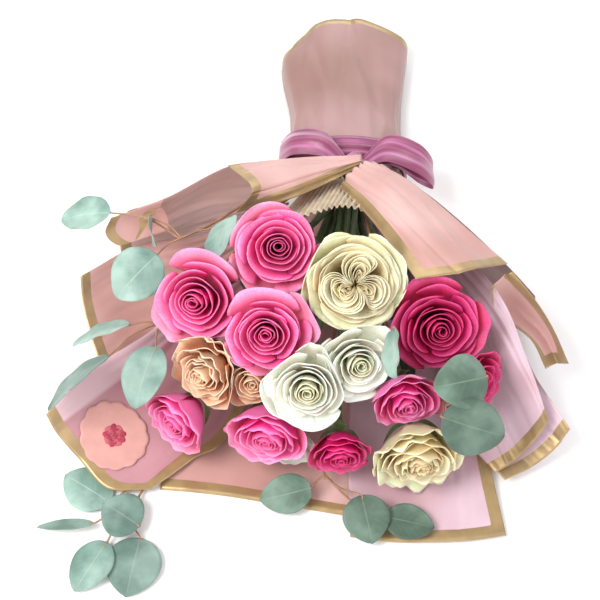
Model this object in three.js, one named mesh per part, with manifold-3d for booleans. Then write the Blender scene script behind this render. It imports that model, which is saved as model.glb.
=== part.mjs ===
// A hand-tied rose bouquet in gathered florist film, lying on its back on a flat surface.
// Millimetres, +Z up. The handle points along +Y, the flowers open towards -Y, and the origin
// is on the surface, under the middle of the bouquet's box.
//
// Every piece is a function of how much it should be grown. Grown by nothing it is the piece
// itself; grown by CLEARANCE it is the tool that cuts its neighbours back, so that petals,
// leaves and film press against each other without sharing any space.
import * as THREE from "three";
import { mergeVertices } from "three/addons/utils/BufferGeometryUtils.js";
import Module from "manifold-3d";

const wasm = await Module();
wasm.setup();

// ---- driving dimensions ------------------------------------------------------------------
const CLEARANCE = 0.35; // gap kept between neighbours that press on each other
const FILM = 1.0; // film thickness, stouter than the real 0.06 so that it is a sound solid
const STEM_RADIUS = 2.6; // rose stems
const STEM_PITCH = 7.0; // spacing of the stems where they are tied
const TIE = new THREE.Vector3(40, 105, 15); // lowest row of stems at the tie point
const CUT_END_Y = 268; // where the stems are cut, inside the handle sleeve
const SPRIG_RADIUS = 1.3; // eucalyptus stems
const PETIOLE_RADIUS = 0.9; // the short stalk of one eucalyptus leaf
const LEAF = 1.2; // eucalyptus leaf thickness
const RIBBON = 1.0; // ribbon thickness
const RIBBON_WIDTH = 26;
const TAG_RADIUS = 31; // scalloped paper tag
const TAG_SCALLOPS = 13;
const FACE = new THREE.Vector3(0, -0.53, 0.848); // the way the bouquet is meant to be looked at
const UP = new THREE.Vector3(0, 0, 1);

const COLOURS = {
  pink: 0xe8508f,
  magenta: 0xc4176a,
  cream: 0xe4cfa4,
  blush: 0xf0c8a8,
  white: 0xeef0e2,
  stem: 0x4e6b38,
  eucalyptus: 0x86aa9c,
  film: 0xc59a94,
  sleeve: 0xa98480,
  collar: 0xe6dcc8,
  ribbon: 0xb5617f,
  twine: 0xb49a6a,
  tag: 0xd9a39a,
};

const vec = (p) => new THREE.Vector3(...p);

// ---- solids --------------------------------------------------------------------------------

// A closed three.js geometry as a manifold solid.
function solidOf(geometry) {
  const bare = geometry.index ? geometry.toNonIndexed() : geometry.clone();
  bare.deleteAttribute("normal");
  bare.deleteAttribute("uv");
  const merged = mergeVertices(bare, 1e-3);
  const mesh = new wasm.Mesh({
    numProp: 3,
    vertProperties: merged.attributes.position.array,
    triVerts: new Uint32Array(merged.index.array),
  });
  return new wasm.Manifold(mesh);
}

// A manifold solid as a three.js geometry.
function geometryOf(solid) {
  const mesh = solid.getMesh();
  const geometry = new THREE.BufferGeometry();
  geometry.setAttribute("position", new THREE.BufferAttribute(mesh.vertProperties, 3));
  geometry.setIndex(new THREE.BufferAttribute(mesh.triVerts, 1));
  geometry.computeVertexNormals();
  return geometry;
}

// The largest body of a solid, for a piece whose rim a cut has nicked off.
function largest(solid) {
  const bodies = solid.decompose();
  return bodies.reduce((best, body) => (body.volume() > best.volume() ? body : best));
}

// A grid of points, smooth through the rows of hand-set points that shape a sheet, and never
// lower than a sheet lying flat on the surface.
function smoothGrid(rows, across, along, thickness = FILM) {
  const smooth = (points, count) => {
    const curve = new THREE.CatmullRomCurve3(points, false, "catmullrom", 0.5);
    return Array.from({ length: count + 1 }, (_, i) => curve.getPoint(i / count));
  };
  const stations = rows.map((row) => smooth(row.map(vec), across));
  const columns = stations[0].map((_, i) => smooth(stations.map((s) => s[i]), along));
  return Array.from({ length: along + 1 }, (_, j) =>
    columns.map((column) => column[j].setZ(Math.max(column[j].z, thickness / 2))),
  );
}

// A grid's neighbour differences at each of its points: along a row, and from row to row.
function gridSlopes(grid) {
  const at = (list, k) => list[THREE.MathUtils.clamp(k, 0, list.length - 1)];
  return grid.map((row, j) => row.map((_, i) => ({
    across: at(row, i + 1).clone().sub(at(row, i - 1)),
    along: at(grid, j + 1)[i].clone().sub(at(grid, j - 1)[i]),
  })));
}

// A sheet of even thickness about a grid of points: two faces and the rim between them. Its
// rim is moved outwards by `grow` as well.
function thickSheet(grid, thickness, grow = 0) {
  const slopes = gridSlopes(grid);
  const tall = grid.length;
  const wide = grid[0].length;
  const points = [];
  const sign = (k, count) => (k === 0 ? -1 : Number(k === count - 1));
  for (const side of [-0.5, 0.5]) {
    grid.forEach((row, j) => row.forEach((p, i) => {
      const { across, along } = slopes[j][i];
      const normal = across.clone().cross(along).normalize();
      const place = p.clone().addScaledVector(normal, side * (thickness + 2 * grow));
      place.addScaledVector(across.clone().normalize(), grow * sign(i, wide));
      place.addScaledVector(along.clone().normalize(), grow * sign(j, tall));
      points.push(...place);
    }));
  }
  const index = (side, j, i) => side * tall * wide + j * wide + i;
  const faces = [];
  const quad = (a, b, c, d) => faces.push(a, b, c, a, c, d);
  for (let j = 0; j < tall - 1; j++) {
    for (let i = 0; i < wide - 1; i++) {
      quad(index(1, j, i), index(1, j, i + 1), index(1, j + 1, i + 1), index(1, j + 1, i));
      quad(index(0, j, i), index(0, j + 1, i), index(0, j + 1, i + 1), index(0, j, i + 1));
    }
  }
  for (let i = 0; i < wide - 1; i++) {
    quad(index(0, 0, i), index(0, 0, i + 1), index(1, 0, i + 1), index(1, 0, i));
    const last = tall - 1;
    quad(index(0, last, i + 1), index(0, last, i), index(1, last, i), index(1, last, i + 1));
  }
  for (let j = 0; j < tall - 1; j++) {
    quad(index(0, j + 1, 0), index(0, j, 0), index(1, j, 0), index(1, j + 1, 0));
    const last = wide - 1;
    quad(index(0, j, last), index(0, j + 1, last), index(1, j + 1, last), index(1, j, last));
  }
  const geometry = new THREE.BufferGeometry();
  geometry.setAttribute("position", new THREE.BufferAttribute(new Float32Array(points), 3));
  geometry.setIndex(faces);
  return geometry;
}

// A sheet piece from its rows of points. Each row runs across the sheet, and the rows follow
// each other away from the tie.
function sheet(rows, { across = 7, along = 7, thickness = FILM } = {}) {
  return (grow) => solidOf(thickSheet(smoothGrid(rows, across, along, thickness), thickness, grow));
}

// A round tube of a few flat sides along a smooth path.
function tube(points, radius, sides = 6, steps = 8) {
  const section = new THREE.Shape();
  for (let k = 0; k < sides; k++) {
    const angle = (k / sides) * 2 * Math.PI;
    const [x, y] = [radius * Math.cos(angle), radius * Math.sin(angle)];
    if (k) section.lineTo(x, y);
    else section.moveTo(x, y);
  }
  const path = new THREE.CatmullRomCurve3(points.map((p) => (p.isVector3 ? p : vec(p))));
  return new THREE.ExtrudeGeometry(section, { steps, extrudePath: path });
}

// Turns a geometry made about +Z so that +Z points along a direction, and moves it to a place.
function aim(geometry, direction, place) {
  const turn = new THREE.Quaternion().setFromUnitVectors(UP, direction);
  return geometry.applyQuaternion(turn).translate(...place);
}

// ---- roses -----------------------------------------------------------------------------------
// Each bloom: its colour, the middle of its widest ring, its radius, and the way it looks:
// `turn` is round from -Y towards +X and `lift` is up from the surface, both in degrees.
const ROSES = [
  { colour: "pink", at: [-22, -62, 148], radius: 38, turn: 5, lift: 55 },
  { colour: "cream", at: [40, -93, 146], radius: 41, turn: 4, lift: 52 },
  { colour: "pink", at: [-86, -92, 120], radius: 39, turn: -18, lift: 46 },
  { colour: "pink", at: [-30, -131, 128], radius: 37, turn: -4, lift: 48 },
  { colour: "magenta", at: [108, -117, 117], radius: 40, turn: 6, lift: 46 },
  { colour: "white", at: [2, -170, 112], radius: 36, turn: -4, lift: 42 },
  { colour: "white", at: [42, -152, 118], radius: 33, turn: 14, lift: 42 },
  { colour: "blush", at: [-80, -143, 90], radius: 34, turn: -35, lift: 26 },
  { colour: "pink", at: [-104, -167, 54], radius: 33, turn: -38, lift: 10 },
  { colour: "pink", at: [-30, -184, 62], radius: 38, turn: -12, lift: 8 },
  { colour: "cream", at: [92, -200, 50], radius: 41, turn: 6, lift: 8 },
  { colour: "magenta", at: [140, -146, 78], radius: 26, turn: 42, lift: 22 },
  { colour: "pink", at: [82, -168, 88], radius: 27, turn: 8, lift: 14 },
  { colour: "magenta", at: [30, -198, 52], radius: 25, turn: 2, lift: 6 },
  { colour: "blush", at: [-42, -150, 88], radius: 26, turn: -10, lift: 30 },
  { colour: "white", at: [-14, -184, 32], radius: 25, turn: -4, lift: 2 },
];
const BLOOM_BACK = 0.78; // depth behind the widest ring, as a share of the radius
const BLOOM_FRONT = 0.5; // height of the heart in front of it
const HIP_RADIUS = 5.5; // the green hip under each bloom

for (const rose of ROSES) {
  const [turn, lift] = [rose.turn, rose.lift].map(THREE.MathUtils.degToRad);
  rose.centre = vec(rose.at);
  rose.looks = new THREE.Vector3(
    Math.sin(turn) * Math.cos(lift),
    -Math.cos(turn) * Math.cos(lift),
    Math.sin(lift),
  );
  rose.base = rose.centre.clone().addScaledVector(rose.looks, -BLOOM_BACK * rose.radius);
}

// One bloom: a full cup of petals turned about its axis, flattened by the blooms it touches.
function bloom(rose) {
  return (grow) => {
    const r = rose.radius + grow;
    const profile = [
      [0, -BLOOM_BACK], [0.3, -0.74], [0.72, -0.42], [0.96, -0.05],
      [1, 0.14], [0.86, 0.36], [0.5, 0.47], [0, BLOOM_FRONT],
    ].map(([out, up]) => new THREE.Vector2(out * r, up * r));
    const cup = new THREE.LatheGeometry(profile, 12).rotateX(Math.PI / 2);
    let solid = solidOf(aim(cup, rose.looks, rose.centre));
    for (const other of ROSES) {
      const apart = other.centre.clone().sub(rose.centre);
      const distance = apart.length();
      if (other === rose || distance > rose.radius + other.radius) continue;
      const share = rose.radius / (rose.radius + other.radius);
      const normal = apart.normalize().negate();
      const wall = rose.centre.clone().addScaledVector(normal, CLEARANCE / 2 - grow - share * distance);
      solid = solid.trimByPlane(normal.toArray(), normal.dot(wall));
    }
    return solid;
  };
}

// Slots of the tied bundle, lowest row first. The lowest blooms take the lowest row and each
// row runs from left to right, so that no two stems cross.
const ROW = 4;
const byHeight = [...ROSES].sort((a, b) => a.base.z - b.base.z);
for (let row = 0; row * ROW < byHeight.length; row++) {
  byHeight
    .slice(row * ROW, row * ROW + ROW)
    .sort((a, b) => a.base.x - b.base.x)
    .forEach((rose, column) => {
      rose.slot = new THREE.Vector3((column - (ROW - 1) / 2) * STEM_PITCH, 0, row * STEM_PITCH);
    });
}

// One rose stem with its hip: from the cut end in the handle, through the tie, to the bloom.
function roseStem(rose) {
  return (grow) => {
    const tie = TIE.clone().add(rose.slot);
    const cut = new THREE.Vector3(TIE.x, CUT_END_Y, 0).add(rose.slot).setZ(8 + rose.slot.z * 0.8);
    const neck = rose.base.clone().addScaledVector(rose.looks, -HIP_RADIUS);
    const bend = neck.clone().addScaledVector(rose.looks, -0.45 * rose.radius).lerp(tie, 0.18);
    const held = tie.clone().lerp(cut, 0.3);
    const stalk = solidOf(tube([cut, held, tie, bend, neck], STEM_RADIUS + grow, 5, 9));
    const hip = new THREE.IcosahedronGeometry(HIP_RADIUS + grow).translate(...neck);
    return stalk.add(solidOf(hip));
  };
}

// ---- eucalyptus ------------------------------------------------------------------------------
// Each leaf: how far along the stem its stalk leaves it, its base and tip, its width, and how
// far it is turned about its midrib, in degrees, from facing the viewer or from facing up.
const SPRIGS = {
  sprig_left_high: {
    stem: [[20, 104, 46], [-30, 50, 84], [-80, -5, 106], [-109, -25, 110]],
    leaves: [
      { at: 0.99, base: [-173, 22, 84], tip: [-221, 25, 70], width: 38, turn: 35 },
      { at: 0.99, base: [-126, -36, 104], tip: [-162, -70, 88], width: 47, turn: 8 },
      { at: 0.8, base: [-62, -14, 128], tip: [-76, -62, 134], width: 36, turn: 55 },
      { at: 0.96, base: [-133, 2, 103], tip: [-127, -36, 116], width: 20, turn: 84 },
    ],
  },
  sprig_left_mid: {
    stem: [[18, 102, 38], [-40, 30, 60], [-95, -50, 60], [-128, -84, 66]],
    leaves: [
      { at: 0.99, base: [-150, -84, 66], tip: [-202, -98, 60], width: 32, turn: 70 },
      { at: 0.99, base: [-164, -120, 76], tip: [-216, -164, 64], width: 34, turn: 68 },
      { at: 0.9, base: [-124, -119, 90], tip: [-140, -172, 80], width: 38, turn: 18 },
    ],
  },
  sprig_left_low: {
    stem: [[24, 96, 8], [10, 40, 3], [-60, -80, 2.7], [-112, -160, 2.7], [-150, -236, 5]],
    leaves: [
      { at: 0.9, base: [-165, -222, 3], tip: [-206, -196, 3], width: 40, turn: 0, up: true },
      { at: 0.98, base: [-137, -247, 12], tip: [-168, -229, 20], width: 41, turn: 5, up: true },
      { at: 0.99, base: [-164, -258, 6], tip: [-188, -300, 5], width: 35, turn: 6, up: true },
      { at: 0.99, base: [-137, -254, 5], tip: [-146, -304, 2], width: 47, turn: 0, up: true },
      { at: 0.98, base: [-176, -243, 9], tip: [-224, -246, 9], width: 12, turn: 20, up: true },
    ],
  },
  sprig_front: {
    stem: [[34, 90, 10], [30, -20, 14], [20, -150, 10], [16, -206, 16]],
    leaves: [
      { at: 0.98, base: [6, -214, 17], tip: [-38, -224, 12], width: 34, turn: 0 },
      { at: 0.99, base: [47, -222, 20], tip: [56, -262, 12], width: 40, turn: 0, up: true },
      { at: 0.97, base: [66, -238, 11], tip: [108, -248, 12], width: 32, turn: 0, up: true },
    ],
  },
  sprig_right: {
    stem: [[68, 96, 20], [70, 30, 20], [106, -60, 38], [118, -125, 52], [114, -155, 76], [111, -188, 100]],
    leaves: [
      { at: 0.99, base: [108, -191, 103], tip: [160, -203, 90], width: 47, turn: 6 },
      { at: 0.94, base: [146, -160, 112], tip: [102, -176, 124], width: 44, turn: 4 },
    ],
  },
  sprig_middle: {
    stem: [[44, 104, 50], [58, 20, 64], [68, -60, 76], [68, -112, 94], [70, -134, 146]],
    leaves: [{ at: 0.99, base: [71, -137, 149], tip: [70, -178, 142], width: 34, turn: 72 }],
  },
};

// The flat outline of a eucalyptus blade from base to tip: broad, with a blunt point.
function blade(length, width) {
  const outline = new THREE.Shape();
  outline.moveTo(0, 0);
  outline.bezierCurveTo(width * 0.62, length * 0.05, width * 0.62, length * 0.72, 0, length);
  outline.bezierCurveTo(-width * 0.62, length * 0.72, -width * 0.62, length * 0.05, 0, 0);
  return outline;
}

// One eucalyptus leaf with its stalk, joined to the stem.
function leaf({ at, base, tip, width, turn, up }, stem, grow) {
  const faces = up ? UP : FACE;
  const midrib = vec(tip).sub(vec(base));
  const length = midrib.length();
  const along = midrib.clone().normalize();
  const normal = faces.clone().addScaledVector(along, -faces.dot(along)).normalize();
  normal.applyAxisAngle(along, THREE.MathUtils.degToRad(turn));
  const side = along.clone().cross(normal);
  const plate = new THREE.ExtrudeGeometry(blade(length + 2 * grow, width + 2 * grow), {
    depth: LEAF + 2 * grow,
    bevelEnabled: false,
    curveSegments: 4,
  }).translate(0, -grow, -LEAF / 2 - grow);
  plate.applyMatrix4(new THREE.Matrix4().makeBasis(side, along, normal)).translate(...base);
  const inside = vec(base).addScaledVector(along, length * 0.12);
  const stalk = tube([stem.getPointAt(at), vec(base), inside], PETIOLE_RADIUS + grow, 5, 4);
  return solidOf(plate).add(solidOf(stalk));
}

// One sprig: its stem, and its leaves on their stalks.
function sprig({ stem, leaves }) {
  const path = new THREE.CatmullRomCurve3(stem.map(vec));
  return (grow) => {
    const stalk = solidOf(tube(stem, SPRIG_RADIUS + grow, 6, 12));
    return leaves.reduce((whole, one) => whole.add(leaf(one, path, grow)), stalk);
  };
}

// ---- wrapper ---------------------------------------------------------------------------------
// Film sheets, as rows of points from the tie out to the free hem. The two lowest lie on the
// surface, and the others overlap them like a fan.
const BACK_CENTRE = [
  [[0, 100, 0.5], [27, 100, 0.5], [54, 100, 0.5], [80, 100, 0.5]],
  [[-70, -9, 0.5], [-13, -7, 0.5], [62, -7, 0.5], [110, -9, 0.5]],
  [[-112, -124, 0.5], [-49, -123, 0.5], [41, -123, 0.5], [112, -124, 0.5]],
  [[-124, -209, 0.5], [-68, -215, 0.5], [-4, -226, 0.5], [47, -235, 0.5]],
];
const BACK_RIGHT = [
  [[40, 84, 2.4], [58, 84, 2.4], [74, 84, 2.8], [90, 84, 4]],
  [[42, -54, 2.4], [88, -53, 2.6], [124, -54, 3.4], [152, -57, 8]],
  [[38, -164, 2.4], [83, -164, 2.8], [127, -164, 4.5], [157, -166, 9]],
  [[38, -252, 2.0], [79, -257, 2.4], [129, -257, 4.5], [168, -252, 5.5]],
];
const FAN_LEFT = [
  [[-14, 76, 28], [-20, 66, 16], [-20, 48, 7], [-13, 24, 3]],
  [[-97, 30, 38], [-102, 8, 20], [-102, -23, 7], [-96, -50, 3]],
  [[-151, 15, 44], [-161, -14, 24], [-158, -45, 9], [-146, -80, 4]],
  [[-203, -21, 46], [-199, -47, 30], [-190, -76, 14], [-176, -108, 6]],
];
const FRONT_LEFT = [
  [[-33, 60, 18], [-28, 50, 11], [-21, 38, 7], [-14, 26, 6], [-4, 12, 5.5]],
  [[-124, -66, 44], [-118, -81, 25], [-102, -104, 13], [-84, -127, 8], [-60, -150, 6]],
  [[-176, -115, 52], [-162, -129, 29], [-144, -147, 16], [-121, -168, 9], [-97, -184, 6]],
  [[-219, -160, 46], [-211, -170, 28], [-192, -188, 15], [-167, -212, 9], [-131, -212, 6.5]],
];
const SIDE_RIGHT_INNER = [
  [[84, 28, 62], [82, 26, 42], [78, 18, 22], [74, 4, 10]],
  [[151, -80, 88], [144, -74, 54], [134, -78, 26], [120, -95, 14]],
  [[182, -134, 72], [170, -134, 44], [153, -140, 23], [135, -158, 14]],
  [[200, -174, 48], [191, -182, 30], [179, -191, 18], [162, -199, 12]],
];
const SIDE_RIGHT_OUTER = [
  [[98, 50, 44], [94, 42, 24], [88, 24, 9], [82, 0, 6.5]],
  [[175, -76, 58], [162, -86, 29], [148, -100, 11], [134, -128, 9]],
  [[201, -134, 50], [186, -144, 25], [168, -158, 12], [153, -178, 11]],
  [[223, -173, 44], [212, -184, 26], [194, -194, 14], [170, -205, 11]],
];
const COLLAR = [
  [[4, 70, 58], [14, 67, 70], [31, 67, 76], [53, 67, 76], [70, 64, 70], [80, 62, 58]],
  [[-34, 12, 66], [-15, 6, 92], [12, 6, 108], [35, 9, 112], [62, 0, 109], [84, -20, 92]],
];
const WALL_LEFT = [
  [[37, 80, 86], [8, 84, 72], [-14, 86, 40], [-20, 86, 5]],
  [[-29, 60, 106], [-42, 66, 70], [-50, 66, 35], [-54, 62, 4]],
  [[-68, 48, 114], [-84, 52, 75], [-94, 50, 36], [-98, 46, 4]],
  [[-122, 31, 92], [-134, 34, 60], [-140, 32, 30], [-142, 30, 5]],
  [[-160, 30, 76], [-168, 28, 54], [-172, 24, 30], [-172, 22, 8]],
];
const WALL_RIGHT = [
  [[46, 80, 86], [72, 84, 72], [96, 86, 40], [102, 86, 5]],
  [[95, 33, 108], [110, 43, 72], [118, 47, 36], [121, 47, 4]],
  [[134, -8, 110], [146, 4, 74], [154, 12, 36], [157, 12, 4]],
  [[173, -48, 100], [183, -38, 72], [189, -32, 36], [191, -32, 5]],
  [[198, -66, 80], [204, -60, 56], [206, -56, 32], [205, -56, 7]],
];
const FOLD_LEFT = [
  [[53, 69, 94], [52, 73, 96], [51, 80, 93]],
  [[26, 48, 98], [18, 57, 104], [12, 76, 97]],
  [[-13, 18, 110], [-22, 29, 122], [-29, 60, 112]],
  [[-60, 2, 112], [-45, 11, 133], [-68, 48, 120]],
];
const FOLD_RIGHT = [
  [[31, 44, 94], [44, 57, 100], [56, 72, 96]],
  [[58, -15, 122], [75, 4, 130], [95, 32, 115]],
  [[89, -92, 149], [128, -80, 144], [171, -54, 116]],
];
const ROLL_LEFT = [
  [[-125, 27, 97], [-130, 24, 84], [-131, 20, 74], [-127, 14, 67], [-122, 16, 74], [-124, 20, 84], [-127, 24, 90]],
  [[-174, 21, 78], [-181, 17, 62], [-176, 12, 53], [-165, 9, 52], [-155, 17, 63], [-149, 21, 76], [-141, 22, 86]],
];
const ROLL_RIGHT = [
  [[155, -74, 104], [165, -60, 104], [176, -56, 108]],
  [[163, -90, 92], [183, -66, 68], [196, -74, 92]],
  [[191, -106, 76], [207, -86, 52], [212, -95, 76]],
  [[206, -122, 56], [219, -110, 44], [226, -117, 56]],
];
const SLEEVE_BACK = [
  [[-14, 102, 7], [12, 102, 3.8], [40, 102, 3.6], [68, 102, 3.8], [94, 102, 7]],
  [[-14, 146, 5], [12, 146, 2.4], [40, 146, 2.2], [68, 146, 2.4], [95, 146, 5]],
  [[-14, 200, 3.2], [12, 200, 0.5], [40, 200, 0.5], [71, 200, 0.5], [97, 200, 3.2]],
  [[-20, 256, 3.2], [10, 262, 0.5], [42, 264, 0.5], [74, 264, 0.5], [104, 260, 3.2]],
  [[-22, 272, 3.2], [10, 292, 0.5], [42, 300, 0.5], [76, 296, 0.5], [108, 280, 3.2]],
];
const SLEEVE_FRONT = [
  [[-16, 104, 9], [-12, 104, 34], [12, 104, 49], [40, 104, 52], [68, 104, 49], [92, 104, 34], [96, 104, 9]],
  [[-15, 186, 6], [-10, 186, 30], [14, 186, 43], [40, 186, 46], [68, 186, 43], [92, 186, 30], [98, 186, 6]],
  [[-22, 262, 6], [-14, 274, 26], [12, 294, 38], [42, 302, 41], [74, 299, 38], [101, 288, 26], [109, 276, 6]],
];

// ---- ribbon ----------------------------------------------------------------------------------
const BAND_Y = 110;
const BAND_RING = [ // X and Z round the waist of the sleeve
  [-14, 1.4], [-19, 9], [-17, 30], [-7, 44], [14, 52.5], [40, 55.5], [66, 52.5],
  [87, 44], [97, 30], [99, 9], [94, 1.4], [67, 0.8], [40, 0.8], [13, 0.8],
];
const LOOP_LEFT = [
  [[42, 84, 62], [42, 98, 63]],
  [[18, 92, 76], [20, 124, 74]],
  [[-12, 98, 72], [-8, 134, 66]],
  [[-24, 96, 54], [-22, 132, 50]],
  [[-8, 94, 57.5], [-8, 124, 57.5]],
  [[20, 90, 60], [20, 112, 60]],
  [[38, 87, 60.5], [38, 98, 60.5]],
];
const LOOP_RIGHT = [
  [[52, 84, 66], [52, 96, 68]],
  [[76, 88, 75], [78, 118, 77]],
  [[106, 77, 70], [108, 112, 70]],
  [[121, 75, 50], [122, 104, 52]],
  [[108, 88, 42], [110, 110, 44]],
  [[82, 92, 62], [84, 108, 62]],
  [[56, 87, 62.5], [56, 97, 62.5]],
];

// A section swept round a closed flat loop. `half` is half its size along Y and across the loop.
function hoop(points, half, sides, steps) {
  const section = new THREE.Shape();
  for (let k = 0; k < sides; k++) {
    const angle = ((k + 0.5) / sides) * 2 * Math.PI;
    const reach = sides === 4 ? Math.SQRT2 : 1;
    const [x, y] = [half[0] * reach * Math.cos(angle), half[1] * reach * Math.sin(angle)];
    if (k) section.lineTo(x, y);
    else section.moveTo(x, y);
  }
  const path = new THREE.CatmullRomCurve3(points, true, "catmullrom", 0.5);
  return solidOf(new THREE.ExtrudeGeometry(section, { steps, extrudePath: path }));
}

// The flat band of ribbon that goes once round the waist of the sleeve.
function band(grow) {
  const middle = BAND_Y + RIBBON_WIDTH / 2;
  const round = BAND_RING.map(([x, z]) => new THREE.Vector3(x, middle, z));
  return hoop(round, [RIBBON_WIDTH / 2 + grow, RIBBON / 2 + grow], 4, 36);
}

// The knot in the middle of the bow.
function knot(grow) {
  const ball = new THREE.IcosahedronGeometry(1, 2).scale(9 + grow, 9 + grow, 7.5 + grow);
  return solidOf(ball.translate(47, 91, 64));
}

// The twine that ties the stems, a rounded square ring about the bundle.
function twine(grow) {
  const half = 1.5 * STEM_PITCH + STEM_RADIUS + 1.6;
  const middle = TIE.z + 1.5 * STEM_PITCH;
  const corners = [[1, 1], [0, 1.08], [-1, 1], [-1.08, 0], [-1, -1], [0, -1.08], [1, -1], [1.08, 0]];
  const round = corners.map(
    ([x, z]) => new THREE.Vector3(TIE.x + x * half, TIE.y, middle + z * half),
  );
  return hoop(round, [3.5 + grow, 1 + grow], 6, 16);
}

// The scalloped paper tag stuck on the front left sheet, following that sheet's curve.
const TAG_CENTRE = [-167, -166];
const TAG_LIFT = 1.3; // its underside above the middle of the film
const TAG_THICKNESS = 0.8;
function tag(grow) {
  const film = new THREE.Mesh(thickSheet(smoothGrid(FRONT_LEFT, 24, 24), 0.01));
  film.material.side = THREE.DoubleSide;
  const down = new THREE.Raycaster(new THREE.Vector3(), UP.clone().negate());
  const height = (x, y) => {
    down.ray.origin.set(x, y, 500);
    return down.intersectObject(film)[0].point.z;
  };
  const outline = new THREE.Shape();
  const spokes = 2 * TAG_SCALLOPS;
  for (let k = 0; k < spokes; k++) {
    const angle = (k / spokes) * 2 * Math.PI;
    const out = (TAG_RADIUS + grow) * (k % 2 ? 1 : 0.93);
    const [x, y] = [0.92 * out * Math.cos(angle), 0.92 * out * Math.sin(angle)];
    if (k) outline.lineTo(x, y);
    else outline.moveTo(x, y);
  }
  const disc = new THREE.ExtrudeGeometry(outline, { depth: TAG_THICKNESS + 2 * grow, bevelEnabled: false });
  disc.translate(...TAG_CENTRE, TAG_LIFT - grow);
  const place = disc.attributes.position;
  for (let k = 0; k < place.count; k++) {
    place.setZ(k, place.getZ(k) + height(place.getX(k), place.getY(k)));
  }
  return solidOf(disc);
}

// ---- assembly --------------------------------------------------------------------------------
// Pieces in the order in which they keep their shape: a later one gives way to an earlier one.
const pieces = [
  ["back_sheet_centre", "film", sheet(BACK_CENTRE, { across: 6, along: 6 })],
  ["sleeve_back", "sleeve", sheet(SLEEVE_BACK, { across: 8, along: 4 })],
  ["back_sheet_right", "film", sheet(BACK_RIGHT)],
  ["front_left_sheet", "film", sheet(FRONT_LEFT, { across: 10 })],
  ["side_right_outer_sheet", "film", sheet(SIDE_RIGHT_OUTER)],
  ["side_right_inner_sheet", "film", sheet(SIDE_RIGHT_INNER)],
  ["fan_left_sheet", "film", sheet(FAN_LEFT)],
  ["wall_left_sheet", "film", sheet(WALL_LEFT)],
  ["wall_right_sheet", "film", sheet(WALL_RIGHT)],
  ["fold_left_flap", "film", sheet(FOLD_LEFT, { across: 6 })],
  ["fold_right_flap", "film", sheet(FOLD_RIGHT, { across: 6 })],
  ["roll_left_flap", "film", sheet(ROLL_LEFT, { across: 12, along: 3 })],
  ["roll_right_flap", "film", sheet(ROLL_RIGHT, { across: 8, along: 6 })],
  ["sleeve_front", "sleeve", sheet(SLEEVE_FRONT, { across: 12, along: 5 })],
  ["inner_collar", "collar", sheet(COLLAR, { across: 12, along: 3, thickness: 1.6 })],
  ["ribbon_band", "ribbon", band],
  ["ribbon_knot", "ribbon", knot],
  ["ribbon_loop_left", "ribbon", sheet(LOOP_LEFT, { across: 2, along: 16, thickness: RIBBON })],
  ["ribbon_loop_right", "ribbon", sheet(LOOP_RIGHT, { across: 2, along: 16, thickness: RIBBON })],
  ["paper_tag", "tag", tag],
];
ROSES.forEach((rose, i) => pieces.push([`rose_${i + 1}_bloom`, rose.colour, bloom(rose)]));
ROSES.forEach((rose, i) => pieces.push([`rose_${i + 1}_stem`, "stem", roseStem(rose)]));
pieces.push(["binding_twine", "twine", twine]);
Object.entries(SPRIGS).forEach(([name, form]) => pieces.push([name, "eucalyptus", sprig(form)]));

const bouquet = new THREE.Group();
const kept = [];
for (const [name, colour, make] of pieces) {
  let solid = make(0);
  const box = solid.boundingBox();
  const apart = (other) => [0, 1, 2].some((k) => other.min[k] > box.max[k] || other.max[k] < box.min[k]);
  for (const earlier of kept) {
    if (!apart(earlier.box)) solid = solid.subtract(earlier.tool);
  }
  solid = largest(solid);
  const tool = make(CLEARANCE);
  kept.push({ name, tool, box: tool.boundingBox() });
  const material = new THREE.MeshStandardMaterial({
    color: COLOURS[colour],
    roughness: colour === "ribbon" ? 0.3 : 0.6,
    metalness: 0,
  });
  const mesh = new THREE.Mesh(geometryOf(solid), material);
  mesh.name = name;
  bouquet.add(mesh);
}

export default bouquet;
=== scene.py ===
"""A hand-tied rose bouquet in gold-hemmed florist film, lying on its back.

The engineering model gives the frame. Every piece is remodelled here as a surface worked out
on a grid of two parameters: petals, film, ribbon, leaves and paper. Lengths are written in
millimetres in the frame's own axes (+Y towards the handle, +Z up) and become metres when a
mesh is made.
"""

from __future__ import annotations

import logging
import math
from dataclasses import dataclass, field
from enum import Enum

import bmesh
import bpy
import numpy as np
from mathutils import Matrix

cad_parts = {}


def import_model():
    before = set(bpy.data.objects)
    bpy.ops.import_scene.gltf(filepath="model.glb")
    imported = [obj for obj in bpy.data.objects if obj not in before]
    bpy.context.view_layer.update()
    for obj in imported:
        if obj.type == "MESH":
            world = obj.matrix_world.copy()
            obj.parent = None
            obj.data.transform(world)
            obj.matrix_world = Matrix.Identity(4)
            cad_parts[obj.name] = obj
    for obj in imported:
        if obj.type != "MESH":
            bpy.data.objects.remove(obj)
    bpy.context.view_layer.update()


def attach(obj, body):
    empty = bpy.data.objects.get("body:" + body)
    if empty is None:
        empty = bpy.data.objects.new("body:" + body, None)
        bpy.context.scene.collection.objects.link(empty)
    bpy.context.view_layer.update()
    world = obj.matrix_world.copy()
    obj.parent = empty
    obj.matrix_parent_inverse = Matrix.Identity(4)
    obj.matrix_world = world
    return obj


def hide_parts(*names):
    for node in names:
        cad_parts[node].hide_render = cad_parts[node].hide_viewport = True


LOG = logging.getLogger("bouquet")
MM = 0.001
UP = np.array([0.0, 0.0, 1.0])
VIEW_LIFT = 58.0
FACE = np.array([0.0, -math.cos(math.radians(VIEW_LIFT)), math.sin(math.radians(VIEW_LIFT))])
Colour = tuple[float, float, float, float]
Rows = list[list[tuple[float, float, float]]]


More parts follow.
